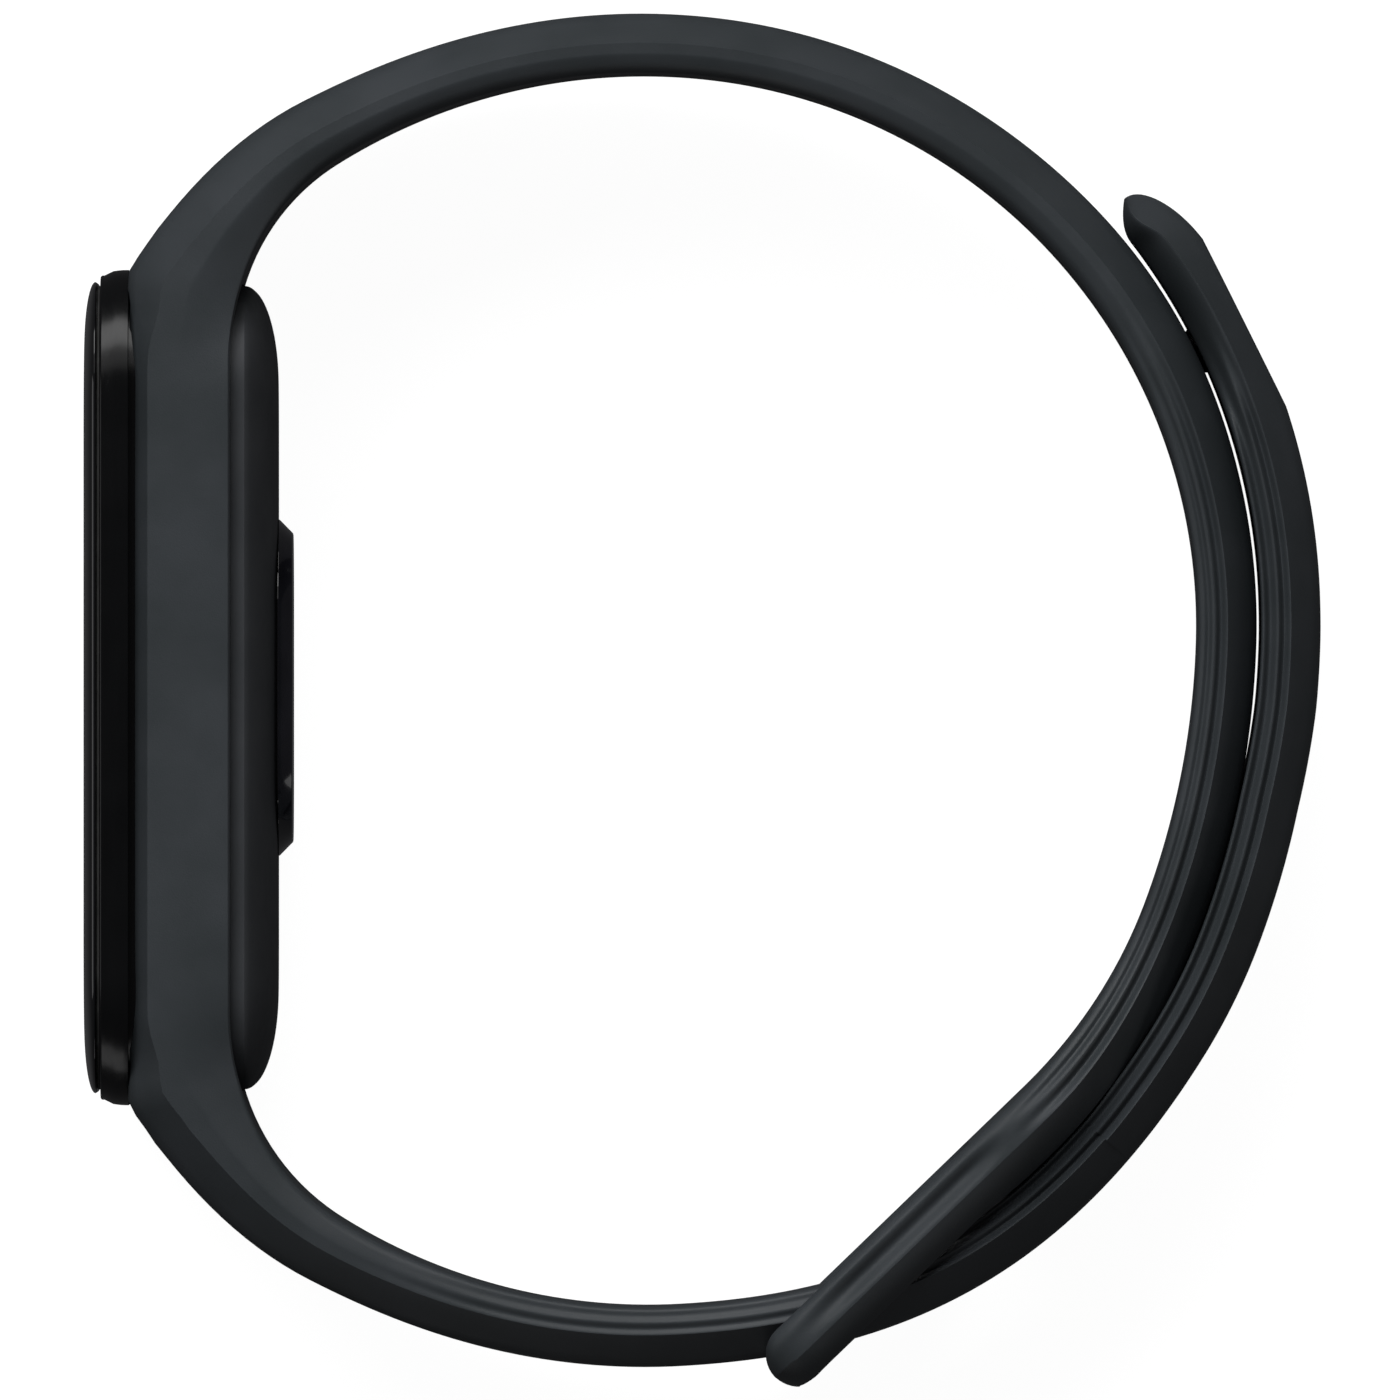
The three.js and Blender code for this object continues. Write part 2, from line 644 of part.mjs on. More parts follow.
function strapParts() {
  const stud = part('closure_stud', closureStud(), 'stud');
  const seat = lowerRoute.at(STUD_ALONG_LOWER);
  const foot = placeOn(lowerRoute, STUD_ALONG_LOWER, 0, 0);
  stud.position.set(foot.x, foot.y, foot.z);
  stud.quaternion.setFromUnitVectors(
    new THREE.Vector3(0, 0, 1),
    new THREE.Vector3(Math.sin(seat.heading), -Math.cos(seat.heading), 0),
  );
  const lowerStations = spread(UPPER_START + SEAM, TAIL_HINGES[0], 2.4);
  return [
    part('strap_frame', strapFrame(), 'strap'),
    part('upper_strap', upperStrap(), 'strap'),
    part('closure_loop', closureLoop(), 'strap'),
    part('lower_strap', loft(lowerRoute, lowerStations, lowerSection), 'strap'),
    part('tail_lower', tailPiece(0), 'strap'),
    part('tail_middle', tailPiece(1), 'strap'),
    part('tail_tip', tailPiece(2), 'strap'),
    stud,
  ];
}

function housingParts() {
  const opening = inset(HOLLOW, -0.2);
  const displaySeal = ring(inset(GLASS, 0.2), opening, RIM_FRONT + 0.03, GLASS_BACK - 0.03);
  const rearSeal = ring(inset(PLUG, 0.2), opening, COVER_TOP + PART_GAP, SKIRT_BOTTOM - PART_GAP);
  return [
    part('cover_glass', coverGlass(), 'glass'),
    part('display_gasket', displaySeal, 'rubber'),
    part('display_panel', slab({ width: 19.4, length: 37, corner: 4 }, 8, 8.95), 'gloss'),
    part('display_flex', displayFlex(), 'ribbon'),
    part('front_housing', frontHousing(), 'gloss'),
    part('inner_bracket', innerBracket(), 'steel'),
    part('rear_gasket', rearSeal, 'rubber'),
    part('rear_cover', rearCover(), 'rear'),
    part('sensor_window', sensorWindow(), 'glass'),
  ];
}

function sensorParts() {
  const led = box(1.6, 1.6, 0.8);
  return [
    part('sensor_board', slab({ width: 13.6, length: 15.6, corner: 3.5 }, 1.6, 2.1), 'board'),
    part('green_led_1', led.clone(), 'lamp', [0, -4.7, 1.15]),
    part('green_led_2', led.clone(), 'lamp', [0, 4.7, 1.15]),
    part('photodiode', box(2.8, 2.8, 0.6), 'chip', [0, 0, 1.25]),
    part('light_barrier', lightBarrier(), 'rubber'),
    part('sensor_flex', box(4, 6, 0.12), 'ribbon', [0, 9, 2.3]),
    part('accelerometer_chip', box(2, 2, 0.6), 'chip', [5, 12, 2.15]),
  ];
}

function chargingParts() {
  return [-1, 1].flatMap((side, index) => {
    const pinPlace = [side * CONTACT_PIN.across, CONTACT_PIN.along, 0];
    const magnetPlace = [side * MAGNET.across, MAGNET.along, 0];
    const magnet = disc(MAGNET.radius, COVER_FLOOR + 0.1, BOARD_BOTTOM - 0.2);
    return [
      part(`charging_contact_${index + 1}`, chargingContact(), 'gold', pinPlace),
      part(`charger_magnet_${index + 1}`, magnet, 'steel', magnetPlace),
    ];
  });
}

function boardParts() {
  return [
    part('main_board', mainBoard(), 'board'),
    part('shield_can', shieldCan(), 'steel', [-5, 13.4, 0]),
    part('processor_chip', box(5, 5, 0.8), 'chip', [-5, 13.4, 3.65]),
    part('bluetooth_antenna', box(13, 0.25, 3), 'gold', [0, 18.5, 5]),
    part('battery_cell', batteryCell(), 'foil', [0, -4.5, 0]),
    part('battery_protection_board', box(12, 0.8, 2.4), 'board', [0, 8.3, 5]),
  ];
}

function motorParts() {
  const motor = new THREE.Group();
  motor.position.set(MOTOR.across, MOTOR.along, MOTOR.bottom);
  const lid = disc(MOTOR.radius, MOTOR.height - MOTOR.wall, MOTOR.height);
  const shaft = disc(MOTOR_SHAFT_RADIUS, MOTOR.wall + PART_GAP, MOTOR.height - MOTOR.wall - PART_GAP);
  motor.add(
    part('vibration_motor_case', motorCase(), 'steel'),
    part('vibration_motor_shaft', shaft, 'steel'),
    part('vibration_motor_rotor', motorRotor(), 'steel', [0, 0, 0.6]),
    part('vibration_motor_lid', lid, 'steel'),
  );
  return motor;
}

const capsule = new THREE.Group();
capsule.position.set(CAPSULE_BACK_X, CAPSULE_MIDDLE_Y, MID_Z);
capsule.rotation.y = -Math.PI / 2;
capsule.add(...housingParts(), ...sensorParts(), ...chargingParts(), ...boardParts(), motorParts());

const tracker = new THREE.Group();
tracker.add(...strapParts(), capsule);

export default tracker;
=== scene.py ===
"""Looks of a fastened fitness tracker band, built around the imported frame.

Shapes are worked out in millimetres, and settle() turns each piece into the frame's metres.
The screen faces -X, the capsule's length runs along Y, and Z runs across the band.
"""

import math
from bisect import bisect_right
from collections import namedtuple

import bmesh
import bpy
from mathutils import Matrix, Vector


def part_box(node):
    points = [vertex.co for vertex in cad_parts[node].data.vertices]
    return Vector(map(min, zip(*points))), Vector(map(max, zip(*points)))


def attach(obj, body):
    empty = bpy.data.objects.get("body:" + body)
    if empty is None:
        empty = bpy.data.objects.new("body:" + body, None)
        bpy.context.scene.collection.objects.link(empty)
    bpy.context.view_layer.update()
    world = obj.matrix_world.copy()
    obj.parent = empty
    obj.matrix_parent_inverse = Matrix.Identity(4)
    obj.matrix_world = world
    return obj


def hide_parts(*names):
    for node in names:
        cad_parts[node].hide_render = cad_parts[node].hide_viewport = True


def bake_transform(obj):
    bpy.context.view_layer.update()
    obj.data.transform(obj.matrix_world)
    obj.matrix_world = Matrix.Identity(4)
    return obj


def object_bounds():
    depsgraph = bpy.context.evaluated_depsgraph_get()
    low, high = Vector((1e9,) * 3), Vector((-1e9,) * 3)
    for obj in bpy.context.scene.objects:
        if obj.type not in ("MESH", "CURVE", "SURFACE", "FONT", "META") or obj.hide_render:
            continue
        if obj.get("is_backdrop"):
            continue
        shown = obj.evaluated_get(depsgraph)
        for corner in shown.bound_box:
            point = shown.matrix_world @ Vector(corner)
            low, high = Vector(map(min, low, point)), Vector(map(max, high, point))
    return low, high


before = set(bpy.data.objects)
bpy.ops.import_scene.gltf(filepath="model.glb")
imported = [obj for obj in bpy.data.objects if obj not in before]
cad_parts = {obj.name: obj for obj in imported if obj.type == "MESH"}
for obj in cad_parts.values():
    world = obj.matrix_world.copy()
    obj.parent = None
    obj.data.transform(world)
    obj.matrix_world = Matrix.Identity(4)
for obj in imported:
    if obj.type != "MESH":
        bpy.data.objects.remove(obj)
cad_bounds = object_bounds()

# ---- Driving dimensions, in millimetres ---------------------------------------------------------

MM = 0.001


def box_mm(node):
    low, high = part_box(node)
    return low / MM, high / MM


housing_low, housing_high = box_mm("front_housing")
BAND_WIDTH = housing_high.z - housing_low.z
MID_Z = (housing_low.z + housing_high.z) / 2
MID_Y = (housing_low.y + housing_high.y) / 2
BACK_X = box_mm("rear_cover")[1].x      # the flat back of the rear cover, where levels start

# Levels through the capsule, from the back of its rear cover (0) out to the glass.
FRAME_BACK = 2.39
COVER_TOP = 2.9
SKIRT_BOTTOM = 3.3
FRAME_FRONT = 7.6
RIM_BACK = 7.53
RIM_FRONT = BACK_X - housing_low.x
RIM_SIDE = (                            # above the rim's back: how far in across, and along
    (0.005, 0.11, 0.03), (0.03, 0.08, 0), (0.2, 0.045, 0),
    (0.4, 0.02, 0.01), (0.6, 0.006, 0.03), (0.8, 0, 0.06),
)
GLASS_BACK = 9.14
GLASS_FRONT = BACK_X - box_mm("cover_glass")[0].x
SENSOR_RISE = box_mm("sensor_window")[1].x - BACK_X

Plate = namedtuple("Plate", "width length corner")      # a rounded rectangle
PLUG = Plate(22.8, 40.8, 5.2)           # the capsule behind its rim
RIM = Plate(BAND_WIDTH, housing_high.y - housing_low.y, 6.3)
GLASS = Plate(24.2, 41.2, 5.8)
GLASS_WALL = 0.1                        # the upright part of its edge; the rest is rounded,
GLASS_ROUNDING = (2.6, 3.4)             # this far in across the band, and along it
COVER_ROUNDING = {"depth": 1.65, "across": 5.6, "along": 5, "fullness": 0.65}
HOLLOW = Plate(20.4, 38.4, 4.0)
WINDOW = Plate(15.2, 17.1, 4.2)
WINDOW_CHAMFER = 0.7
STEM = Plate(12.7, 14.6, 3.575)         # the part of the window that goes in through the rear cover,
STEM_TOP = 1.4                          # up to this level
STEM_WALL = 0.8
LAMP_LENS = Plate(2.6, 2.6, 1.25)
LAMP_LENS_AT = 4.7                      # to either side of the window's middle
DETECTOR_LENS = Plate(4.4, 3.6, 1.0)
FIT_GAP = 0.1                           # between the capsule and the frame round it
FLOOR_TOP = 1.0                         # the rear cover's floor ends and the capsule's hollow starts
CONTACT_PIN = {"radius": 1.3, "across": 3.2, "along": -13}
PIN_GAP = 0.05
OUTSIDE = -2                            # levels at which a cutter is clear of the capsule,
BEYOND = 12                             # behind its back and in front of its glass

FRAME_HALF = 16.43                      # the frame's wrist side is straight this far from its middle
FRAME_BEND = (13.76, 20)                # and then turns to the strap's root: radius, degrees
FRAME_DEPTH = FRAME_FRONT - FRAME_BACK
FRAME_CROWN = 1.05
FRAME_CHAMFER = 2.0                     # how far in the chamfer on the frame's outer edge goes
FRAME_END = 20                          # the frame's shape has turned into the strap's by here
SHOULDER = {"height": 0.58, "at": 19.7, "length": 0.95}     # a soft ridge on the outer face there
FRAME_TILT = 0.16                       # how far in the frame's wall leans at the wrist side,
ROOT_TILT = 0.8                         # the strap's wall at its root,
TILT_LOST = 0.3                         # and how much less of that the strap has away from the root
FRAME_ROUNDING = 0.12                   # the wrist side's edge
STRAP_ROUNDING = 0.55
GROOVED_SHARPER = 0.35                  # how much less that edge is rounded beside the grooves
STRAP_WIDTH = 18
TAIL_WIDTH = 17.4
TAIL_TILT = 0.15                        # how far in the tail's wall leans at the wrist side
STRAP_THICKNESS = 3.03
ROOT_SWELL = 2.08                       # extra thickness where a strap leaves the frame
ROOT_SWELL_LENGTH = 4.8
CROWN = 1.52                            # how high the outer face rises above its side edge,
CROWN_IN_FIRST_HALF = 0.13              # how much higher it is in a strap's first half,
CROWN_AT_ROOT = 0.28                    # and how much higher still at its root
CROWN_RUN = 1.12                        # how far in from the edge most of that rise takes
STRAP_CHAMFER = 2.3                     # how far in the chamfer on the outer face's edge goes,
CHAMFER_GROWTH = 0.5                    # and how much further it goes away from the root
GROOVED_FROM = (50, 62)                 # the upper strap's grooves deepen between these places
LOWER_RIDGED = 0.3                      # the lower strap's grooves are this share of the tail's depth

# Places along the upper strap, from its root.
LOOP_START = 96
CONTACT = 87.5                          # the tail first touches the strap, and lies on it to its tip
TIP_AT = 46.6
STUD_AT = 55

# Where the upper strap is thicker or thinner under the tail: by how much, at which place, how gently.
UNDER_TAIL = ((0.14, 52, 7), (-0.05, 69, 9))

LOOP_WIDTH = 23
LOOP_FLARE = 13                         # the strap widens into the loop over this much
LOOP_RADIUS = 1.7
LOOP_CORNER = 2.4
LOOP_CROWN = 1.6
LOOP_CROWN_RUN = 1.2
LOOP_ROUNDING = 0.8
SLOT = Plate(19, 14.2, 2.0)
SLOT_ROUNDING = 0.7
SLOT_PAST_END = 1.1                     # the slot reaches this far into the loop's rounded end
PASSAGE_GAP = 0.05                      # round the lower strap, where it goes through the loop
HOLE_PITCH = 6
HOLE = Plate(3.3, 4.6, 1.64)
HOLE_ROUNDING = 0.3
HOLE_PLACES = range(-2, 6)              # in pitches from the stud's hole
TAIL_GAP = 0.17                         # under the tail, where it is fully open
GAP_AT_CONTACT = 0.15                   # the share of it that is open where the tail first touches,
GAP_OPENS_AT = 0.28                     # up to this share of the way to the tip
GAP_OPENING_RATE = 8
TIP_LIFT = 0.25                         # how much further out the tip is than that gap
TIP_SHORTER = 0.92                      # the rounded tip ends this much before the tail's route
TIP_NOSE = 1.15                         # how far out from the wrist side the tip's end is
TIP_HALF = 4.2                          # half the width that is left at the tip's end
TIP_ROUNDING = {"outer": 4, "sides": 6.5, "wrist": 1.7}     # over how much of the tail each is rounded
TAIL_BENDS = (-6, 5, 16.5)              # where the tail's hinges are, from the place of first contact
THINNEST = 0.05                         # the tip's last section, which doesn't quite close

STUD = {"shank": 1.25, "tip": 1.45, "head": 3.5, "thickness": 0.6}
STUD_SEAT = STRAP_THICKNESS - 0.35      # the flat round the stud's head, sunk in the tail's outer face

# ---- Curves the strap follows -------------------------------------------------------------------

Place = namedtuple("Place", "x y heading")


def arc(start, radius, degrees):
    """A piece of a route, (length, at). Positive degrees turn left."""
    side = math.copysign(1, degrees)
    centre_x = start.x - side * radius * math.sin(start.heading)
    centre_y = start.y + side * radius * math.cos(start.heading)

    def at(distance):
        heading = start.heading + side * distance / radius
        return Place(
            centre_x + side * radius * math.sin(heading),
            centre_y - side * radius * math.cos(heading),
            heading,
        )

    return radius * abs(math.radians(degrees)), at


def straight(start, length):
    def at(distance):
        return Place(
            start.x + distance * math.cos(start.heading),
            start.y + distance * math.sin(start.heading),
            start.heading,
        )

    return length, at


def bezier(start, start_handle, end, end_handle, samples=400):
    """A piece of a route that leaves one place and arrives at another along their headings."""

    def pulled(place, handle):
        return Vector((
            place.x + handle * math.cos(place.heading),
            place.y + handle * math.sin(place.heading),
        ))

    a, b = pulled(start, 0), pulled(start, start_handle)
    c, d = pulled(end, -end_handle), pulled(end, 0)

    def point(t):
        return a * (1 - t) ** 3 + b * 3 * t * (1 - t) ** 2 + c * 3 * t * t * (1 - t) + d * t ** 3

    lengths = [0.0]
    for step in range(samples):
        lengths.append(lengths[-1] + (point((step + 1) / samples) - point(step / samples)).length)

    def at(distance):
        step = max(0, min(bisect_right(lengths, distance), samples) - 1)
        share = (distance - lengths[step]) / (lengths[step + 1] - lengths[step])
        t = (step + share) / samples
        slope = (b - a) * (1 - t) ** 2 + (c - b) * 2 * t * (1 - t) + (d - c) * t * t
        return Place(*point(t), math.atan2(slope.y, slope.x))

    return lengths[-1], at


def alongside(route, start, end, off):
    """The outer side of an earlier route, followed backwards from one place to another."""

    def at(distance):
        beside = route.place(start - distance)
        return Place(
            beside.x - off(distance) * math.sin(beside.heading),
            beside.y + off(distance) * math.cos(beside.heading),
            beside.heading + math.pi,
        )

    return start - end, at


class Route:
    """Pieces end to end, starting beside the capsule's middle, on the strap's wrist side.

    outward is 1 where the strap's outer face is on the route's left, and -1 where it is on its right.
    """

    def __init__(self, outward):
        self.outward = outward
        self.pieces = []
        self.end = Place(BACK_X - FRAME_BACK, MID_Y, math.pi / 2 * outward)
        self.length = 0

    def add(self, piece):
        self.pieces.append(piece)
        self.end = piece[1](piece[0])
        self.length += piece[0]

    def place(self, distance):
        left = distance
        for length, at in self.pieces[:-1]:
            if left <= length:
                return at(left)
            left -= length
        return self.pieces[-1][1](left)

    def point(self, distance, across, out):
        place = self.place(distance)
        return Vector((
            place.x - self.outward * out * math.sin(place.heading),
            place.y + self.outward * out * math.cos(place.heading),
            MID_Z + across,
        ))


def strap_route(outward, turns):
    """From the capsule's middle round the frame's end, then through turns of (radius, degrees)."""
    route = Route(outward)
    route.add(straight(route.end, FRAME_HALF))
    for radius, degrees in [FRAME_BEND, *turns]:
        route.add(arc(route.end, radius, -outward * degrees))
    return route


ROOT_AT = FRAME_HALF + arc(Place(0, 0, 0), *FRAME_BEND)[0]      # where each strap leaves the capsule

upper = strap_route(1, [(11, 38), (29.5, 39), (28, 84.7), (41.5, 18.8), (25.5, 25.5)])
upper.add(straight(upper.end, 17.6))


def tail_off(distance):
    """How far the tail's wrist side is from the upper strap's, by the distance from first contact."""
    share = distance / (CONTACT - TIP_AT)
    gap = TAIL_GAP * min(1, GAP_AT_CONTACT + max(0, share - GAP_OPENS_AT) * GAP_OPENING_RATE)
    return STRAP_THICKNESS + gap + TIP_LIFT * max(0, 2 * share - 1)


lower = strap_route(-1, [(11.6, 38), (29.4, 35)])
tail = alongside(upper, ROOT_AT + CONTACT, ROOT_AT + TIP_AT, tail_off)
lower.add(bezier(lower.end, 10.5, tail[1](0), 11.9))
lower_contact = lower.length
lower.add(tail)
tail_hinges = [lower_contact + bend for bend in TAIL_BENDS]
stud_at = lower_contact + CONTACT - STUD_AT
tip_end = lower.length - TIP_SHORTER

# ---- Meshes -------------------------------------------------------------------------------------


def smooth(value, start, end):
    """From 0 at the start to 1 at the end, with no kink at either."""
    share = min(1, max(0, (value - start) / (end - start)))
    return share * share * (3 - 2 * share)


def mix(a, b, share):
    return a + (b - a) * share


def change(before, after, value, start, end):
    """Turns smoothly from one size into another as the value goes from start to end."""
    return mix(before, after, smooth(value, start, end))


def swelling(value, middle, length):
    """A soft bump that is 1 at its middle."""
    return math.exp(-((value - middle) / length) ** 2)


def spread(start, end, spacing):
    """Evenly placed values from start to end, no further apart than the spacing."""
    steps = max(1, math.ceil(abs(end - start) / spacing))
    return [mix(start, end, step / steps) for step in range(steps + 1)]


def closed_mesh(name, rings):
    """A closed skin over rings of equally many points, with flat ends."""
    count = len(rings[0])
    points = [point for ring in rings for point in ring]
    faces = [tuple(range(count)), tuple(range(len(points) - count, len(points)))]
    for start in range(0, len(points) - count, count):
        for i in range(count):
            j = (i + 1) % count
            faces.append((start + i, start + j, start + count + j, start + count + i))
    mesh = bpy.data.meshes.new(name)
    mesh.from_pydata(points, [], faces)
    shape = bmesh.new()
    shape.from_mesh(mesh)
    bmesh.ops.recalc_face_normals(shape, faces=shape.faces)
    shape.to_mesh(mesh)
    shape.free()
    piece = bpy.data.objects.new(name, mesh)
    bpy.context.scene.collection.objects.link(piece)
    return piece


def join(pieces):
    """All the pieces as one object, the first."""
    shape = bmesh.new()
    for piece in pieces:
        shape.from_mesh(piece.data)
    shape.to_mesh(pieces[0].data)
    shape.free()
    for piece in pieces[1:]:
        bpy.data.objects.remove(piece)
    return pieces[0]


def cut(target, tools):
    """Takes the tools, which lie clear of each other, out of the target."""
    tool = join(tools)
    modifier = target.modifiers.new("cut", "BOOLEAN")
    modifier.operation = "DIFFERENCE"
    modifier.solver = "EXACT"
    modifier.object = tool
    result = target.evaluated_get(bpy.context.evaluated_depsgraph_get())
    mesh = bpy.data.meshes.new_from_object(result)
    target.modifiers.clear()
    target.data = mesh
    bpy.data.objects.remove(tool)
    return target


def settle(piece, body, material, replaced=(), sharp_degrees=32):
    """Turns a finished shape into a piece of the model: metres, shading, finish and body."""
    mesh = piece.data
    mesh.transform(Matrix.Scale(MM, 4))
    mesh.shade_smooth()
    mesh.set_sharp_from_angle(angle=math.radians(sharp_degrees))
    mesh.materials.clear()
    mesh.materials.append(material)
    if replaced:
        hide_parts(*replaced)
    if body:
        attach(piece, body)
    return piece


# ---- Outlines and capsule shapes ----------------------------------------------------------------


def outline(plate, steps=14):
    """The points of a rounded rectangle, (x, y)."""
    points = []
    for quarter, (side_x, side_y) in enumerate([(1, 1), (-1, 1), (-1, -1), (1, -1)]):
        for step in range(steps + 1):
            angle = (quarter + step / steps) * math.pi / 2
            points.append((
                side_x * (plate.width / 2 - plate.corner) + plate.corner * math.cos(angle),
                side_y * (plate.length / 2 - plate.corner) + plate.corner * math.sin(angle),
            ))
    return points


def inset(plate, across, along=None):
    """The plate made smaller by this much on each side."""
    along = across if along is None else along
    corner = max(0.3, plate.corner - min(across, along) / 2)
    return Plate(plate.width - 2 * across, plate.length - 2 * along, corner)


def to_band(x, y, level):
    """From the capsule's own frame: x across, y along, level out through the screen."""
    return Vector((BACK_X - level, MID_Y + y, MID_Z + x))


def stack(name, levels, along=0):
    """A body through rounded rectangles at rising levels: each is (level, plate)."""
    rings = []
    for level, plate in levels:
        rings.append([to_band(x, y + along, level) for x, y in outline(plate)])
    return closed_mesh(name, rings)


def rounded_edge(plate, face, depth, across, along=None, steps=12, fullness=1.0):
    """Levels of an edge rounded as a quarter of an ellipse, from the flat face out to the full outline.

    Across the band the edge turns over sooner where its fullness is less than 1.
    """
    along = across if along is None else along
    levels = []
    for step in range(steps + 1):
        angle = step / steps * math.pi / 2
        left = 1 - math.sin(angle)
        here = inset(plate, across * left ** fullness, along * left)
        levels.append((face + depth * (1 - math.cos(angle)), here))
    return levels


def turned(name, profile, to_place, segments=72):
    """Turned about an axis from (radius, height) points; to_place puts (x, y, height) in the band."""
    rings = []
    for radius, height in profile:
        ring = []
        for i in range(segments):
            angle = i / segments * 2 * math.pi
            ring.append(to_place(radius * math.cos(angle), radius * math.sin(angle), height))
        rings.append(ring)
    return closed_mesh(name, rings)


# ---- The strap's cross-section ------------------------------------------------------------------

# half: half the width
# low: how far out the wrist side is, and thickness: from there to the outer face
# crown: how high the outer face rises above its side edge, and run: how far in most of that takes
# framed: the share of the crown that is a chamfer instead, and bevel: how far in the chamfer goes
# rounding: the radius of the wrist side's edge
# tilt: how far in the wall leans at the wrist side, and reach: the share of its height that leans
# grooves: those along the wall, and ridged: the share of their full depth that they have here
Section = namedtuple(
    "Section",
    "half low thickness crown run framed bevel rounding tilt reach grooves ridged",
)
Groove = namedtuple("Groove", "middle half depth")      # the first two are shares of the wall's height

STRAP_GROOVES = (Groove(0.34, 0.16, 0.2), Groove(0.76, 0.23, 0.42))
TAIL_GROOVES = (Groove(0.3, 0.26, 0.45), Groove(0.77, 0.22, 0.42))
LOOP_GROOVES = (Groove(0.56, 0.4, 0.45),)
WALL_POINTS = 32
WALL_CROWDING = 1.1                     # above 1 the wall's points are closer near the wrist side
LEAN_CURVE = 1.3                        # above 1 the leaning wall curves into the upright part

# Where the points on the two faces are: shares of the half width, closer together near the edges.
FACE_SHARES = (0, 0.35, 0.65, 0.88, 0.97)
CROWN_SHARES = (
    0.005, 0.012, 0.021, 0.032, 0.046, 0.062, 0.08, 0.1, 0.13,
    0.17, 0.22, 0.29, 0.38, 0.5, 0.65, 0.82, 1,
)


def wall_inset(section, height, edge):
    """How far in the wall is at a height above the wrist side, where the wall ends at the edge."""
    left = max(0, section.rounding - height)
    fillet = section.rounding - math.sqrt(section.rounding ** 2 - left ** 2)
    lean = section.tilt * max(0, 1 - height / edge / section.reach) ** LEAN_CURVE
    cuts = 0
    for groove in section.grooves:
        off = min(1, abs(height / edge - groove.middle) / groove.half)
        cuts += groove.depth * (1 + math.cos(math.pi * off)) / 2
    return fillet + lean + cuts * section.ridged


def crown_rise(section, inward):
    """The share of the crown's height that is reached this far in from the edge."""
    rounded = 1 - (1 - inward / section.half) ** (section.half / section.run)
    chamfer = min(1, inward / section.bevel)
    return mix(rounded, chamfer, section.framed)


def section_points(section):
    """(across, out) all round, from the middle of the wrist side."""
    edge = section.thickness - section.crown
    right = []
    for i in range(WALL_POINTS):
        height = edge * (i / (WALL_POINTS - 1)) ** WALL_CROWDING
        right.append((section.half - wall_inset(section, height, edge), section.low + height))
    right = [(share * right[0][0], section.low) for share in FACE_SHARES] + right
    for share in CROWN_SHARES:
        rise = crown_rise(section, share * section.half)
        right.append((section.half * (1 - share), section.low + edge + section.crown * rise))
    left = [(-across, out) for across, out in reversed(right[1:-1])]
    return right + left


def moulding_section(from_middle, ridged, grooves=STRAP_GROOVES):
    """The frame, a strap's root or a plain strap, by the distance from the capsule's middle."""
    along_strap = from_middle - ROOT_AT
    thickness = STRAP_THICKNESS + ROOT_SWELL * math.exp(-max(0, along_strap) / ROOT_SWELL_LENGTH)
    shoulder = SHOULDER["height"] * swelling(from_middle, SHOULDER["at"], SHOULDER["length"])
    crown = CROWN + CROWN_IN_FIRST_HALF * (1 - smooth(along_strap, 45, 60))
    crown += CROWN_AT_ROOT * (1 - smooth(along_strap, 0, 10))
    bevel = change(FRAME_CHAMFER, STRAP_CHAMFER, from_middle, FRAME_HALF, FRAME_END)
    rounding = change(FRAME_ROUNDING, STRAP_ROUNDING, along_strap, -3, 12)
    tilt = change(FRAME_TILT, ROOT_TILT, from_middle, 15, FRAME_END)
    return Section(
        half=change(BAND_WIDTH, STRAP_WIDTH, from_middle, 12, 66) / 2,
        low=0,
        thickness=change(FRAME_DEPTH, thickness, from_middle, FRAME_HALF, FRAME_END + 0.6) + shoulder,
        crown=change(FRAME_CROWN, crown, from_middle, FRAME_HALF, FRAME_END + 0.6),
        run=change(0.5, CROWN_RUN, from_middle, FRAME_HALF, FRAME_END + 2),
        framed=change(1, 0.9, from_middle, FRAME_HALF, FRAME_END),
        bevel=bevel + CHAMFER_GROWTH * smooth(along_strap, 6, 45),
        rounding=rounding - GROOVED_SHARPER * ridged,
        tilt=tilt - TILT_LOST * smooth(along_strap, 0, 25),
        reach=0.65,
        grooves=grooves,
        ridged=ridged,
    )


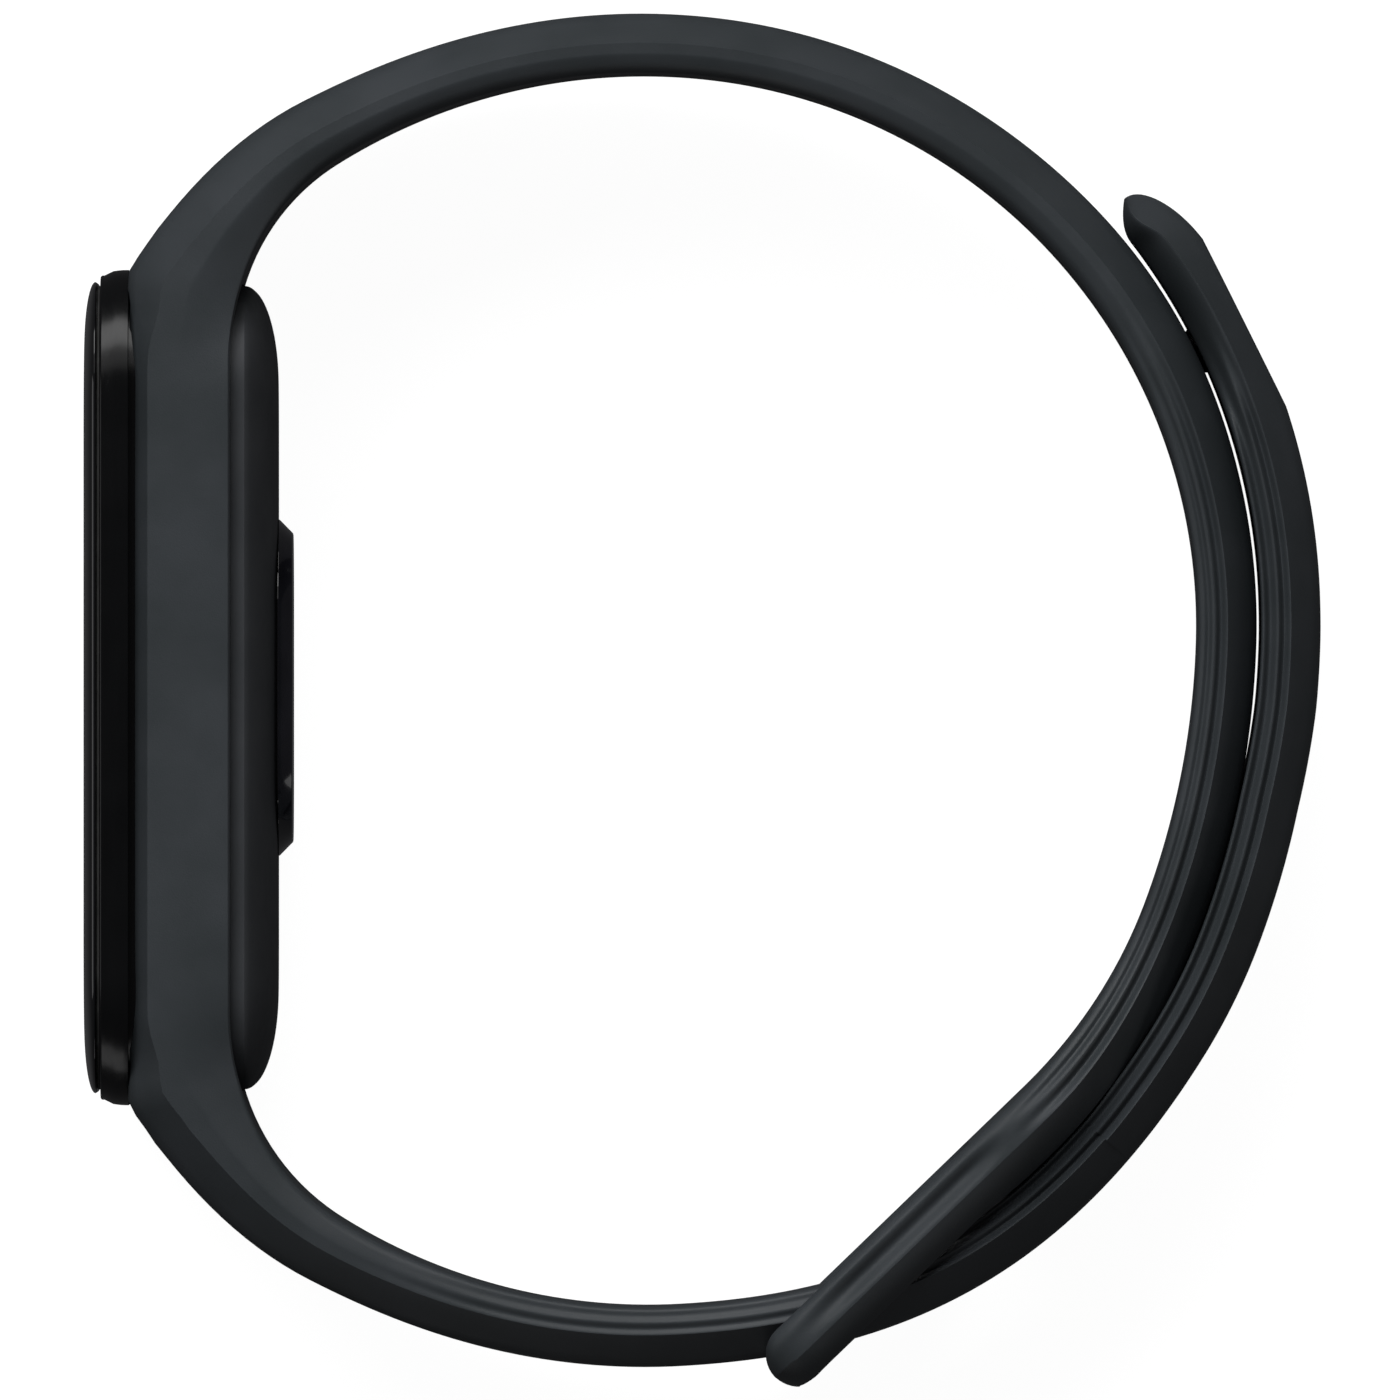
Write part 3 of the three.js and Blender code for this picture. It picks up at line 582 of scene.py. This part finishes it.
def upper_section(from_middle):
    """The upper strap: grooved from the stud on, then wider towards the loop with its rounded end."""
    along_strap = from_middle - ROOT_AT
    beyond = from_middle - upper.length
    on_loop = smooth(along_strap, LOOP_START, LOOP_START + 3)
    ridged = smooth(along_strap, *GROOVED_FROM) * (1 - smooth(along_strap, LOOP_START - 5, LOOP_START))
    ridged += on_loop
    plain = moulding_section(from_middle, ridged, LOOP_GROOVES if on_loop else STRAP_GROOVES)
    flare_start = LOOP_START - LOOP_FLARE
    half = change(plain.half, LOOP_WIDTH / 2, along_strap, flare_start, LOOP_START - 2)
    under_tail = sum(extra * swelling(along_strap, at, length) for extra, at, length in UNDER_TAIL)
    thickness = plain.thickness + under_tail
    thickness = change(thickness, 2 * LOOP_RADIUS, along_strap, flare_start, LOOP_START)
    if beyond > 0:
        thickness = 2 * math.sqrt(LOOP_RADIUS ** 2 - beyond ** 2)
    into_corner = max(0, beyond - LOOP_RADIUS + LOOP_CORNER)
    looped = smooth(along_strap, LOOP_START - 6, LOOP_START + 2)
    return plain._replace(
        half=half - LOOP_CORNER + math.sqrt(LOOP_CORNER ** 2 - into_corner ** 2),
        low=LOOP_RADIUS - thickness / 2 if beyond > 0 else 0,
        thickness=thickness,
        crown=min(mix(plain.crown, LOOP_CROWN, looped), 0.5 * thickness),
        run=mix(plain.run, LOOP_CROWN_RUN, looped),
        framed=mix(plain.framed, 0.1, looped),
        rounding=min(mix(plain.rounding, LOOP_ROUNDING, looped), 0.45 * thickness),
        tilt=mix(plain.tilt, 0, looped),
        ridged=ridged * (1 - smooth(beyond, -5, 0)),
    )


def lower_section(from_middle):
    """The lower strap up to the tail's first hinge, where it has become the tail's section."""
    along_strap = from_middle - ROOT_AT
    hinge = tail_hinges[0]
    ridged = change(LOWER_RIDGED * smooth(along_strap, 8, 20), 1, from_middle, hinge - 14, hinge - 1)
    plain = moulding_section(from_middle, ridged, TAIL_GROOVES)
    return plain._replace(
        half=change(BAND_WIDTH, TAIL_WIDTH, from_middle, 12, 54) / 2,
        tilt=change(plain.tilt, TAIL_TILT, along_strap, 0, 15),
    )


def tail_section(from_middle):
    """The tail keeps one section up to its tip, where the outer face and the wrist side meet."""
    left = max(0, tip_end - from_middle)
    plain = moulding_section(from_middle, smooth(left, 6, 12), TAIL_GROOVES)
    outer = math.sqrt(1 - max(0, 1 - left / TIP_ROUNDING["outer"]) ** 2)
    plan = math.sqrt(1 - max(0, 1 - left / TIP_ROUNDING["sides"]) ** 2)
    low = TIP_NOSE * max(0, 1 - left / TIP_ROUNDING["wrist"]) ** 2
    thickness = TIP_NOSE + (STRAP_THICKNESS - TIP_NOSE) * outer - low
    crown_share = change(0.8, CROWN / STRAP_THICKNESS, left, 0, 2.5)
    return plain._replace(
        half=mix(TIP_HALF, TAIL_WIDTH / 2, plan),
        low=low,
        thickness=max(THINNEST, thickness),
        crown=max(0.4 * THINNEST, thickness * crown_share),
        run=change(2.0, plain.run, left, 2, 10),
        rounding=min(change(1.25, plain.rounding, left, 6, 15), 0.4 * max(THINNEST, thickness)),
        tilt=change(2.8, TAIL_TILT, left, 5, 13) * smooth(left, -0.5, 2.5),
        reach=change(1, plain.reach, left, 5, 13),
    )


def loft(name, route, stations, section_at):
    """A body along a route, with its cross-section worked out at each station."""
    rings = []
    for distance in stations:
        points = section_points(section_at(distance))
        rings.append([route.point(distance, across, out) for across, out in points])
    return closed_mesh(name, rings)


# ---- Tools that cut the strap -------------------------------------------------------------------


def flared(thickness, radius, clear=1.5, steps=6):
    """(out, grow) levels of a cutter that rounds the edges it leaves at both faces.

    It starts and ends clear of the faces by that much.
    """
    near = []
    for step in range(steps + 1):
        angle = math.radians(mix(15, 90, step / steps))
        near.append((radius * (1 - math.cos(angle)), radius * (1 - math.sin(angle))))
    near.insert(0, (-clear, near[0][1]))
    far = [(thickness - out, grow) for out, grow in reversed(near)]
    return near + far


def opening_tool(route, distance, plate, thickness, radius, along_shift=0):
    """A cutter through the strap that bends with it. The plate's length runs along the route."""
    rings = []
    for out, grow in flared(thickness, radius):
        points = outline(inset(plate, -grow))
        rings.append([route.point(distance + along_shift + y, x, out) for x, y in points])
    return closed_mesh("opening_tool", rings)


def frame_opening_tool():
    opening = inset(PLUG, -FIT_GAP)
    return stack("frame_opening_tool", [(OUTSIDE, opening), (BEYOND, opening)])


def passage_tool():
    """The way the lower strap takes through the loop, from well before the loop to the tail."""
    half = SLOT.width / 2
    low = -PASSAGE_GAP
    top = STRAP_THICKNESS + PASSAGE_GAP
    corners = [(half, low), (half, top), (-half, top), (-half, low)]
    rings = []
    for distance in spread(ROOT_AT + 20, lower_contact, 1):
        rings.append([lower.point(distance, across, out) for across, out in corners])
    return closed_mesh("passage_tool", rings)


# ---- The strap ----------------------------------------------------------------------------------


def upper_half():
    """Half of the frame, the upper strap with its holes, and the loop with its slot."""
    end = upper.length
    round_end = [end + LOOP_RADIUS * math.sin(math.radians(degrees)) for degrees in range(88, 0, -8)]
    body = loft("strap_moulding", upper, round_end + spread(end, 0, 0.6), upper_section)
    holes = []
    for place in HOLE_PLACES:
        hole_at = ROOT_AT + STUD_AT + place * HOLE_PITCH
        holes.append(opening_tool(upper, hole_at, HOLE, STRAP_THICKNESS, HOLE_ROUNDING))
    slot_shift = SLOT_PAST_END - SLOT.length / 2
    slot = opening_tool(upper, end, SLOT, 2 * LOOP_RADIUS, SLOT_ROUNDING, slot_shift)
    cut(body, [frame_opening_tool(), slot, *holes])
    return cut(body, [passage_tool()])


def lower_half():
    """The other half of the frame, and the lower strap up to the tail."""
    body = loft("lower_half", lower, spread(0, tail_hinges[0], 0.6), lower_section)
    return cut(body, [frame_opening_tool()])


def weld_halves(piece):
    """Drops the two halves' end faces beside the capsule's middle, and makes one skin of them."""
    on_middle = 1e-4
    weld_distance = 2e-3
    shape = bmesh.new()
    shape.from_mesh(piece.data)
    ends = [
        face for face in shape.faces
        if abs(face.normal.y) > 0.99 and all(abs(v.co.y - MID_Y) < on_middle for v in face.verts)
    ]
    bmesh.ops.delete(shape, geom=ends, context="FACES")
    bmesh.ops.remove_doubles(shape, verts=shape.verts, dist=weld_distance)
    shape.to_mesh(piece.data)
    shape.free()
    return piece


def strap_moulding(material):
    """Frame, upper strap, loop and lower strap in one skin."""
    piece = weld_halves(join([upper_half(), lower_half()]))
    nodes = ["strap_frame", "upper_strap", "closure_loop", "lower_strap"]
    return settle(piece, "band", material, nodes)


def stud_place(x, y, out):
    """x along the tail and y across it, on the line that the stud follows."""
    place = lower.place(stud_at)
    foot = lower.point(stud_at, y, out)
    return foot + Vector((x * math.cos(place.heading), x * math.sin(place.heading), 0))


def tail_tip_mesh(start):
    """The tail's last length, with the stud's flat seat, its recess and its hole."""
    stations = spread(start, tip_end - 4, 0.5) + spread(tip_end - 3.8, tip_end - 0.5, 0.2)
    stations += [tip_end - left for left in (0.35, 0.22, 0.12, 0.05, 0.01, 0)]
    body = loft("tail_moulding_tip", lower, stations, tail_section)
    below, above = -2, 8                # both clear of the tail
    seat_corners = [(-9, -12), (9, -12), (9, 12), (-9, 12)]
    seat = closed_mesh("seat_tool", [
        [stud_place(x, y, out) for x, y in seat_corners]
        for out in (STUD_SEAT, above)
    ])
    wall, mouth = STUD["head"] + 0.08, STUD["head"] + 0.2
    recess = [
        (wall, STUD_SEAT - STUD["thickness"]), (wall, STUD_SEAT - 0.12),
        (mouth, STUD_SEAT + 0.01), (mouth, above),
    ]
    hole = [(STUD["shank"], below), (STUD["shank"], above)]
    cut(body, [seat])
    cut(body, [turned("recess_tool", recess, stud_place)])
    return cut(body, [turned("hole_tool", hole, stud_place)])


def tail_mouldings(material):
    """The tail in three lengths, lofted one after the other from hinge to hinge, each in place of its
    CAD part.
    """
    bodies = ["band", "tail_lower", "tail_middle", "tail_tip"]
    for index, start in enumerate(tail_hinges):
        if index < 2:
            stations = spread(start, tail_hinges[index + 1], 0.5)
            piece = loft(f"tail_moulding_{index + 1}", lower, stations, tail_section)
        else:
            piece = tail_tip_mesh(start)
            piece.name = "tail_moulding_3"
        node = bodies[index + 1]
        settle(piece, None, material, [node])
        pivot = lower.point(start, 0, STRAP_THICKNESS)
        heading = lower.place(start).heading
        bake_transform(piece)


def closure_stud(material):
    """A mushroom tip, a shank through the tail, and a flat head with a ring pressed into it."""
    shank, tip, head = STUD["shank"], STUD["tip"], STUD["head"]
    neck, ring, middle = shank - 0.1, 2.08, 0.3
    start = 0.1 - tail_off(CONTACT - STUD_AT)
    under_head = STUD_SEAT - STUD["thickness"]
    profile = [
        (middle, start), (tip - 0.5, start + 0.04), (tip - 0.2, start + 0.2), (tip - 0.04, start + 0.5),
        (tip, start + 0.75), (tip, start + 0.95), (tip - 0.06, start + 1.1),
        (neck, start + 1.5), (neck, -0.2), (shank, 0), (shank, under_head),
        (head, under_head), (head, STUD_SEAT - 0.2), (head - 0.03, STUD_SEAT - 0.1),
        (head - 0.12, STUD_SEAT - 0.03), (head - 0.28, STUD_SEAT),
        (ring + 0.12, STUD_SEAT), (ring + 0.04, STUD_SEAT - 0.05),
        (ring - 0.04, STUD_SEAT - 0.05), (ring - 0.12, STUD_SEAT), (middle, STUD_SEAT),
    ]
    piece = turned("stud_metalwork", profile, stud_place, segments=96)
    return settle(piece, "tail_tip", material, ["closure_stud"])


# ---- The capsule --------------------------------------------------------------------------------


def glass_lens(material):
    """Rounded from its flat face down to a narrow upright wall."""
    depth = GLASS_FRONT - GLASS_BACK - GLASS_WALL
    edge = rounded_edge(GLASS, GLASS_FRONT, -depth, *GLASS_ROUNDING, steps=20)
    back = [(GLASS_BACK, inset(GLASS, 0.12)), (GLASS_BACK + 0.06, inset(GLASS, 0.02))]
    piece = stack("cover_glass_lens", back + edge[::-1])
    return settle(piece, "capsule", material, ["cover_glass"])


def housing_shell(material):
    """A skirt down inside the frame, and the overhanging rim with its faintly bowed side."""
    levels = [(SKIRT_BOTTOM, inset(PLUG, 0.1)), (SKIRT_BOTTOM + 0.1, PLUG), (RIM_BACK, PLUG)]
    for height, across, along in RIM_SIDE:
        levels.append((RIM_BACK + height, inset(RIM, across, along)))
    top = inset(RIM, 0.03, 0.28)
    levels.append((RIM_FRONT - 0.2, top))
    levels += rounded_edge(top, RIM_FRONT, -0.12, 0.12, steps=5)[::-1]
    piece = stack("housing_shell", levels)
    cut(piece, [stack("hollow_tool", [(0, HOLLOW), (BEYOND, HOLLOW)])])
    return settle(piece, "capsule", material, ["front_housing"])


def pin_place(side):
    """Places what is turned about one charging pin's axis."""

    def to_place(x, y, level):
        return to_band(side * CONTACT_PIN["across"] + x, CONTACT_PIN["along"] + y, level)

    return to_place


def rear_shell(material):
    """A hollow cover with a deeply rounded edge, open for the window's stem and the two pins."""
    edge = rounded_edge(PLUG, 0, steps=24, **COVER_ROUNDING)
    piece = stack("rear_shell", edge + [(COVER_TOP - 0.08, PLUG), (COVER_TOP, inset(PLUG, 0.08))])
    through = FLOOR_TOP + 0.1
    stem_hole = inset(STEM, -PIN_GAP)
    pin_hole = CONTACT_PIN["radius"] + PIN_GAP
    cut(piece, [stack("hollow_tool", [(FLOOR_TOP, HOLLOW), (BEYOND, HOLLOW)])])
    cut(piece, [stack("stem_tool", [(OUTSIDE, stem_hole), (through, stem_hole)])])
    for side in (-1, 1):
        cut(piece, [turned("pin_tool", [(pin_hole, OUTSIDE), (pin_hole, through)], pin_place(side))])
    return settle(piece, "capsule", material, ["rear_cover"])


def contact_pads(material):
    """Dished faces against the skin, and a wider foot inside the cover's floor."""
    radius = CONTACT_PIN["radius"]
    foot, foot_at, top, middle = radius + 0.4, FLOOR_TOP + 0.05, 2.3, 0.1
    profile = [
        (middle, 0.1), (0.5, 0.09), (radius - 0.35, 0.05), (radius - 0.2, 0.03), (radius - 0.08, 0.06),
        (radius, 0.16), (radius, foot_at), (foot, foot_at), (foot, top), (middle, top),
    ]
    for number, side in enumerate((-1, 1), start=1):
        piece = turned(f"charging_pad_{number}", profile, pin_place(side))
        settle(piece, "capsule", material, [f"charging_contact_{number}"])


def heart_window(material):
    """A raised plate with a chamfered edge, and its hollow stem in through the cover."""
    face = -SENSOR_RISE
    chamfer_end = face + WINDOW_CHAMFER
    top = rounded_edge(inset(WINDOW, WINDOW_CHAMFER - 0.05), face, 0.06, 0.2, steps=5)
    levels = top + [
        (chamfer_end - 0.06, inset(WINDOW, 0.06)), (chamfer_end, WINDOW),
        (-0.05, WINDOW), (-0.045, STEM), (STEM_TOP, STEM),
    ]
    piece = stack("heart_sensor_window", levels)
    stem_hollow = inset(STEM, STEM_WALL)
    cut(piece, [stack("stem_hollow_tool", [(-0.1, stem_hollow), (BEYOND, stem_hollow)])])
    return settle(piece, "capsule", material, ["sensor_window"])


def sensor_lenses(lamp_material, detector_material):
    """Thin lenses let into the window, over the two lamps and the light detector."""
    face = -SENSOR_RISE
    for name, along, plate, material in [
        ("sensor_lens_1", -LAMP_LENS_AT, LAMP_LENS, lamp_material),
        ("sensor_lens_2", LAMP_LENS_AT, LAMP_LENS, lamp_material),
        ("sensor_lens_3", 0, DETECTOR_LENS, detector_material),
    ]:
        levels = rounded_edge(plate, face - 0.03, 0.04, 0.35, steps=6)
        levels.append((face + 0.3, plate))
        settle(stack(name, levels, along), "capsule", material)


# ---- Materials ----------------------------------------------------------------------------------


class Finish:
    """A material with one Principled shader, and helpers that vary its inputs over the surface."""

    def __init__(self, name, metallic=0, coat=0, specular=0.5, **uniform):
        self.material = bpy.data.materials.new(name)
        self.material.use_nodes = True
        self.nodes = self.material.node_tree.nodes
        self.links = self.material.node_tree.links
        self.shader = self.nodes["Principled BSDF"]
        self.shader.inputs["Metallic"].default_value = metallic
        self.shader.inputs["Coat Weight"].default_value = coat
        self.shader.inputs["Specular IOR Level"].default_value = specular
        for socket, value in uniform.items():
            self.shader.inputs[socket.replace("_", " ")].default_value = value
        self.place = self.nodes.new("ShaderNodeTexCoord").outputs["Object"]

    def noise(self, size_mm, detail=3, stretch=(1, 1, 1)):
        """Noise with features of about this size, drawn out along the axes that stretch names."""
        mapping = self.nodes.new("ShaderNodeMapping")
        mapping.inputs["Scale"].default_value = [1 / (MM * size_mm * s) for s in stretch]
        texture = self.nodes.new("ShaderNodeTexNoise")
        texture.inputs["Scale"].default_value = 1
        texture.inputs["Detail"].default_value = detail
        self.links.new(self.place, mapping.inputs["Vector"])
        self.links.new(mapping.outputs["Vector"], texture.inputs["Vector"])
        return texture.outputs["Fac"]

    def colours(self, value, stops):
        """Two colours, each at its own place in the noise: (place, colour)."""
        ramp = self.nodes.new("ShaderNodeValToRGB")
        ramp.color_ramp.elements[0].position = stops[0][0]
        ramp.color_ramp.elements[0].color = (*stops[0][1], 1)
        ramp.color_ramp.elements[1].position = stops[1][0]
        ramp.color_ramp.elements[1].color = (*stops[1][1], 1)
        self.links.new(value, ramp.inputs["Fac"])
        self.links.new(ramp.outputs["Color"], self.shader.inputs["Base Color"])

    def roughness(self, value, low, high):
        """Roughness from low to high over the middle part of the noise."""
        spread_out = self.nodes.new("ShaderNodeMapRange")
        spread_out.inputs["From Min"].default_value = 0.3
        spread_out.inputs["From Max"].default_value = 0.7
        spread_out.inputs["To Min"].default_value = low
        spread_out.inputs["To Max"].default_value = high
        self.links.new(value, spread_out.inputs["Value"])
        self.links.new(spread_out.outputs["Result"], self.shader.inputs["Roughness"])

    def bump(self, value, height_mm):
        node = self.nodes.new("ShaderNodeBump")
        node.inputs["Strength"].default_value = 1
        node.inputs["Distance"].default_value = height_mm * MM
        self.links.new(value, node.inputs["Height"])
        self.links.new(node.outputs["Normal"], self.shader.inputs["Normal"])


def strap_rubber():
    """Satin black elastomer: fine moulded grain, and faint patches where it has been handled."""
    finish = Finish("satin_elastomer", specular=0.5)
    dark, light = (0.0175, 0.0205, 0.0225), (0.0225, 0.0255, 0.0285)
    finish.colours(finish.noise(6, 4), [(0.35, dark), (0.65, light)])
    finish.roughness(finish.noise(3, 5), 0.46, 0.54)
    finish.bump(finish.noise(0.09, 2), 0.006)
    return finish.material


def glass():
    """Black behind clear glass, faintly smeared."""
    finish = Finish("cover_glass_black", coat=1.0, specular=0.5, Coat_Roughness=0.02)
    dark, light = (0.002, 0.0022, 0.0025), (0.0035, 0.0037, 0.004)
    finish.colours(finish.noise(9, 2), [(0.3, dark), (0.7, light)])
    finish.roughness(finish.noise(4, 6), 0.03, 0.09)
    return finish.material


def gloss_plastic():
    """Polished black plastic, with hairlines along the capsule."""
    finish = Finish("polished_black_plastic", specular=0.5)
    dark, light = (0.001, 0.0011, 0.0012), (0.002, 0.0021, 0.0023)
    finish.colours(finish.noise(5, 3), [(0.3, dark), (0.7, light)])
    finish.roughness(finish.noise(0.3, 5, stretch=(1, 14, 1)), 0.2, 0.26)
    finish.bump(finish.noise(0.2, 3, stretch=(1, 20, 1)), 0.0003)
    return finish.material


def rear_plastic():
    """Satin black plastic, worn a little smoother in patches by the skin."""
    finish = Finish("satin_black_plastic", specular=0.2)
    dark, light = (0.022, 0.0235, 0.0255), (0.028, 0.0295, 0.032)
    finish.colours(finish.noise(4, 3), [(0.3, dark), (0.7, light)])
    finish.roughness(finish.noise(1.2, 4), 0.42, 0.5)
    finish.bump(finish.noise(0.12, 2), 0.0008)
    return finish.material


def sensor_glass():
    """Dark tinted plastic under a hard clear coat."""
    finish = Finish("sensor_window_tinted", coat=0.6, Coat_Roughness=0.03)
    dark, light = (0.003, 0.003, 0.004), (0.006, 0.006, 0.008)
    finish.colours(finish.noise(3, 3), [(0.3, dark), (0.7, light)])
    finish.roughness(finish.noise(2, 5), 0.08, 0.16)
    return finish.material


def lens(name, dark, light):
    finish = Finish(name, coat=1.0, Coat_Roughness=0.03)
    finish.colours(finish.noise(0.7, 2), [(0.35, dark), (0.65, light)])
    finish.roughness(finish.noise(1.1, 3), 0.1, 0.2)
    return finish.material


def metal(name, dark, light, low, high, grain_mm=0.15, stretch=(1, 1, 1)):
    finish = Finish(name, metallic=1)
    finish.colours(finish.noise(1.5, 3), [(0.35, dark), (0.65, light)])
    finish.roughness(finish.noise(grain_mm, 4, stretch), low, high)
    finish.bump(finish.noise(grain_mm, 3, stretch), 0.0015)
    return finish.material


def plain_finish(name, dark, light, low, high, size_mm=1.0):
    finish = Finish(name)
    finish.colours(finish.noise(size_mm, 4), [(0.35, dark), (0.65, light)])
    finish.roughness(finish.noise(size_mm / 2, 3), low, high)
    finish.bump(finish.noise(size_mm / 4, 2), 0.004)
    return finish.material


# ---- Inner parts, which keep their CAD shapes ---------------------------------------------------


def finish_inner_parts():
    steel = metal("bright_steel", (0.5, 0.5, 0.5), (0.62, 0.62, 0.61), 0.25, 0.4, 0.2, (1, 8, 1))
    board = plain_finish("green_solder_mask", (0.006, 0.05, 0.022), (0.01, 0.075, 0.034), 0.35, 0.5)
    chip = plain_finish("black_epoxy", (0.012, 0.012, 0.013), (0.02, 0.02, 0.021), 0.45, 0.6, 0.6)
    seal = plain_finish("soft_silicone", (0.014, 0.014, 0.014), (0.02, 0.02, 0.02), 0.7, 0.85)
    ribbon = plain_finish("polyimide_ribbon", (0.3, 0.13, 0.02), (0.42, 0.2, 0.035), 0.3, 0.45, 2.0)
    lamp = plain_finish("lamp_phosphor", (0.22, 0.45, 0.2), (0.35, 0.6, 0.3), 0.3, 0.4, 0.5)
    gold = metal("antenna_gold", (0.62, 0.42, 0.14), (0.75, 0.52, 0.2), 0.25, 0.35)
    foil = metal("battery_foil", (0.42, 0.43, 0.44), (0.55, 0.56, 0.57), 0.3, 0.5, 0.6)
    screen = plain_finish("display_stack", (0.004, 0.004, 0.006), (0.008, 0.008, 0.011), 0.15, 0.25, 3)
    finishes = {
        steel: [
            "inner_bracket", "shield_can", "charger_magnet_1", "charger_magnet_2",
            "vibration_motor_case", "vibration_motor_lid", "vibration_motor_shaft",
            "vibration_motor_rotor",
        ],
        board: ["main_board", "sensor_board", "battery_protection_board"],
        chip: ["processor_chip", "accelerometer_chip", "photodiode"],
        seal: ["display_gasket", "rear_gasket", "light_barrier"],
        ribbon: ["display_flex", "sensor_flex"],
        lamp: ["green_led_1", "green_led_2"],
        gold: ["bluetooth_antenna"],
        foil: ["battery_cell"],
        screen: ["display_panel"],
    }
    for material, names in finishes.items():
        for name in names:
            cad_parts[name].material_slots[0].material = material


# ---- Studio -------------------------------------------------------------------------------------

CAMERA_LENS = 1600
CAMERA_HEIGHT = 3.179                   # in metres, above the side that the band lies on
CAMERA_SHIFT = (-0.13, 0.01)            # from the band's middle, in millimetres
FLOOR_AT = -0.0002                      # in metres, just clear of the band


def softbox(name, location, size, watts, mirrored=True):
    """A rectangle of light aimed at the band; it shows in glossy surfaces if it is mirrored."""
    light = bpy.data.lights.new(name, "AREA")
    light.shape = "RECTANGLE"
    light.size, light.size_y = size
    light.energy = watts
    item = bpy.data.objects.new(name, light)
    item.location = location
    item.rotation_euler = (-item.location).to_track_quat("-Z", "Y").to_euler()
    item.visible_glossy = mirrored
    bpy.context.scene.collection.objects.link(item)


def add_world():
    """Pale where it is seen directly, dim where it lights the object."""
    world = bpy.data.worlds.new("studio")
    world.use_nodes = True
    bpy.context.scene.world = world
    nodes, links = world.node_tree.nodes, world.node_tree.links
    nodes["Background"].inputs["Color"].default_value = (0.04, 0.04, 0.042, 1)
    seen = nodes.new("ShaderNodeBackground")
    seen.inputs["Color"].default_value = (0.95, 0.95, 0.95, 1)
    mixer = nodes.new("ShaderNodeMixShader")
    links.new(nodes.new("ShaderNodeLightPath").outputs["Is Camera Ray"], mixer.inputs["Fac"])
    links.new(nodes["Background"].outputs["Background"], mixer.inputs[1])
    links.new(seen.outputs["Background"], mixer.inputs[2])
    links.new(mixer.outputs["Shader"], nodes["World Output"].inputs["Surface"])


def add_floor():
    """A disc just under the band, pale enough to merge with the background."""
    bpy.ops.mesh.primitive_circle_add(vertices=96, radius=4, fill_type="NGON")
    floor = bpy.context.object
    floor.name = "pale_floor"
    floor.location.z = FLOOR_AT
    floor.visible_glossy = False
    floor.visible_diffuse = False
    finish = Finish("pale_floor", specular=0.1, Emission_Color=(1, 1, 1, 1), Emission_Strength=0.97)
    finish.colours(finish.noise(400, 2), [(0.3, (0.09, 0.09, 0.09)), (0.7, (0.1, 0.1, 0.1))])
    finish.roughness(finish.noise(200, 2), 0.85, 0.95)
    floor.data.materials.append(finish.material)
    floor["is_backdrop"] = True


def add_camera():
    """Square on to the band's side, from far enough away to see it nearly without perspective."""
    low, high = cad_bounds
    data = bpy.data.cameras.new("camera")
    data.lens = CAMERA_LENS
    data.sensor_width = 36
    camera = bpy.data.objects.new("camera", data)
    camera.location = (
        (low.x + high.x) / 2 + CAMERA_SHIFT[0] * MM,
        (low.y + high.y) / 2 + CAMERA_SHIFT[1] * MM,
        CAMERA_HEIGHT,
    )
    bpy.context.scene.collection.objects.link(camera)
    bpy.context.scene.camera = camera


def add_studio():
    softbox("key", (-0.33, 0.78, 1.12), (0.9, 0.9), 32, mirrored=False)
    softbox("top", (0.0, 1.25, 0.7), (2.0, 0.7), 8.5)
    softbox("sky", (0.0, 1.2, 0.95), (2.2, 1.5), 5)
    softbox("left", (-1.3, 0, 0.5), (0.6, 1.0), 1.2)
    softbox("low", (-0.2, -1.35, 0.25), (0.9, 0.6), 1.2)
    softbox("back", (1.25, -0.6, 0.35), (0.9, 0.7), 1.4)
    add_world()
    add_floor()
    add_camera()
    bpy.context.scene.view_settings.view_transform = "Standard"


# ---- The whole object ---------------------------------------------------------------------------

rubber = strap_rubber()
strap_moulding(rubber)
tail_mouldings(rubber)
closure_stud(metal("satin_dark_steel", (0.11, 0.11, 0.115), (0.16, 0.16, 0.165), 0.25, 0.38))
glass_lens(glass())
housing_shell(gloss_plastic())
rear_shell(rear_plastic())
heart_window(sensor_glass())
sensor_lenses(
    lens("lamp_lens", (0.01, 0.022, 0.014), (0.016, 0.034, 0.022)),
    lens("detector_lens", (0.012, 0.008, 0.02), (0.02, 0.013, 0.032)),
)
contact_pads(metal("contact_gold_plate", (0.6, 0.42, 0.16), (0.74, 0.53, 0.22), 0.22, 0.34))
finish_inner_parts()
add_studio()

boxes = {"cad": cad_bounds, "visual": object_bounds()}
{name: [list(low), list(high)] for name, (low, high) in boxes.items()}
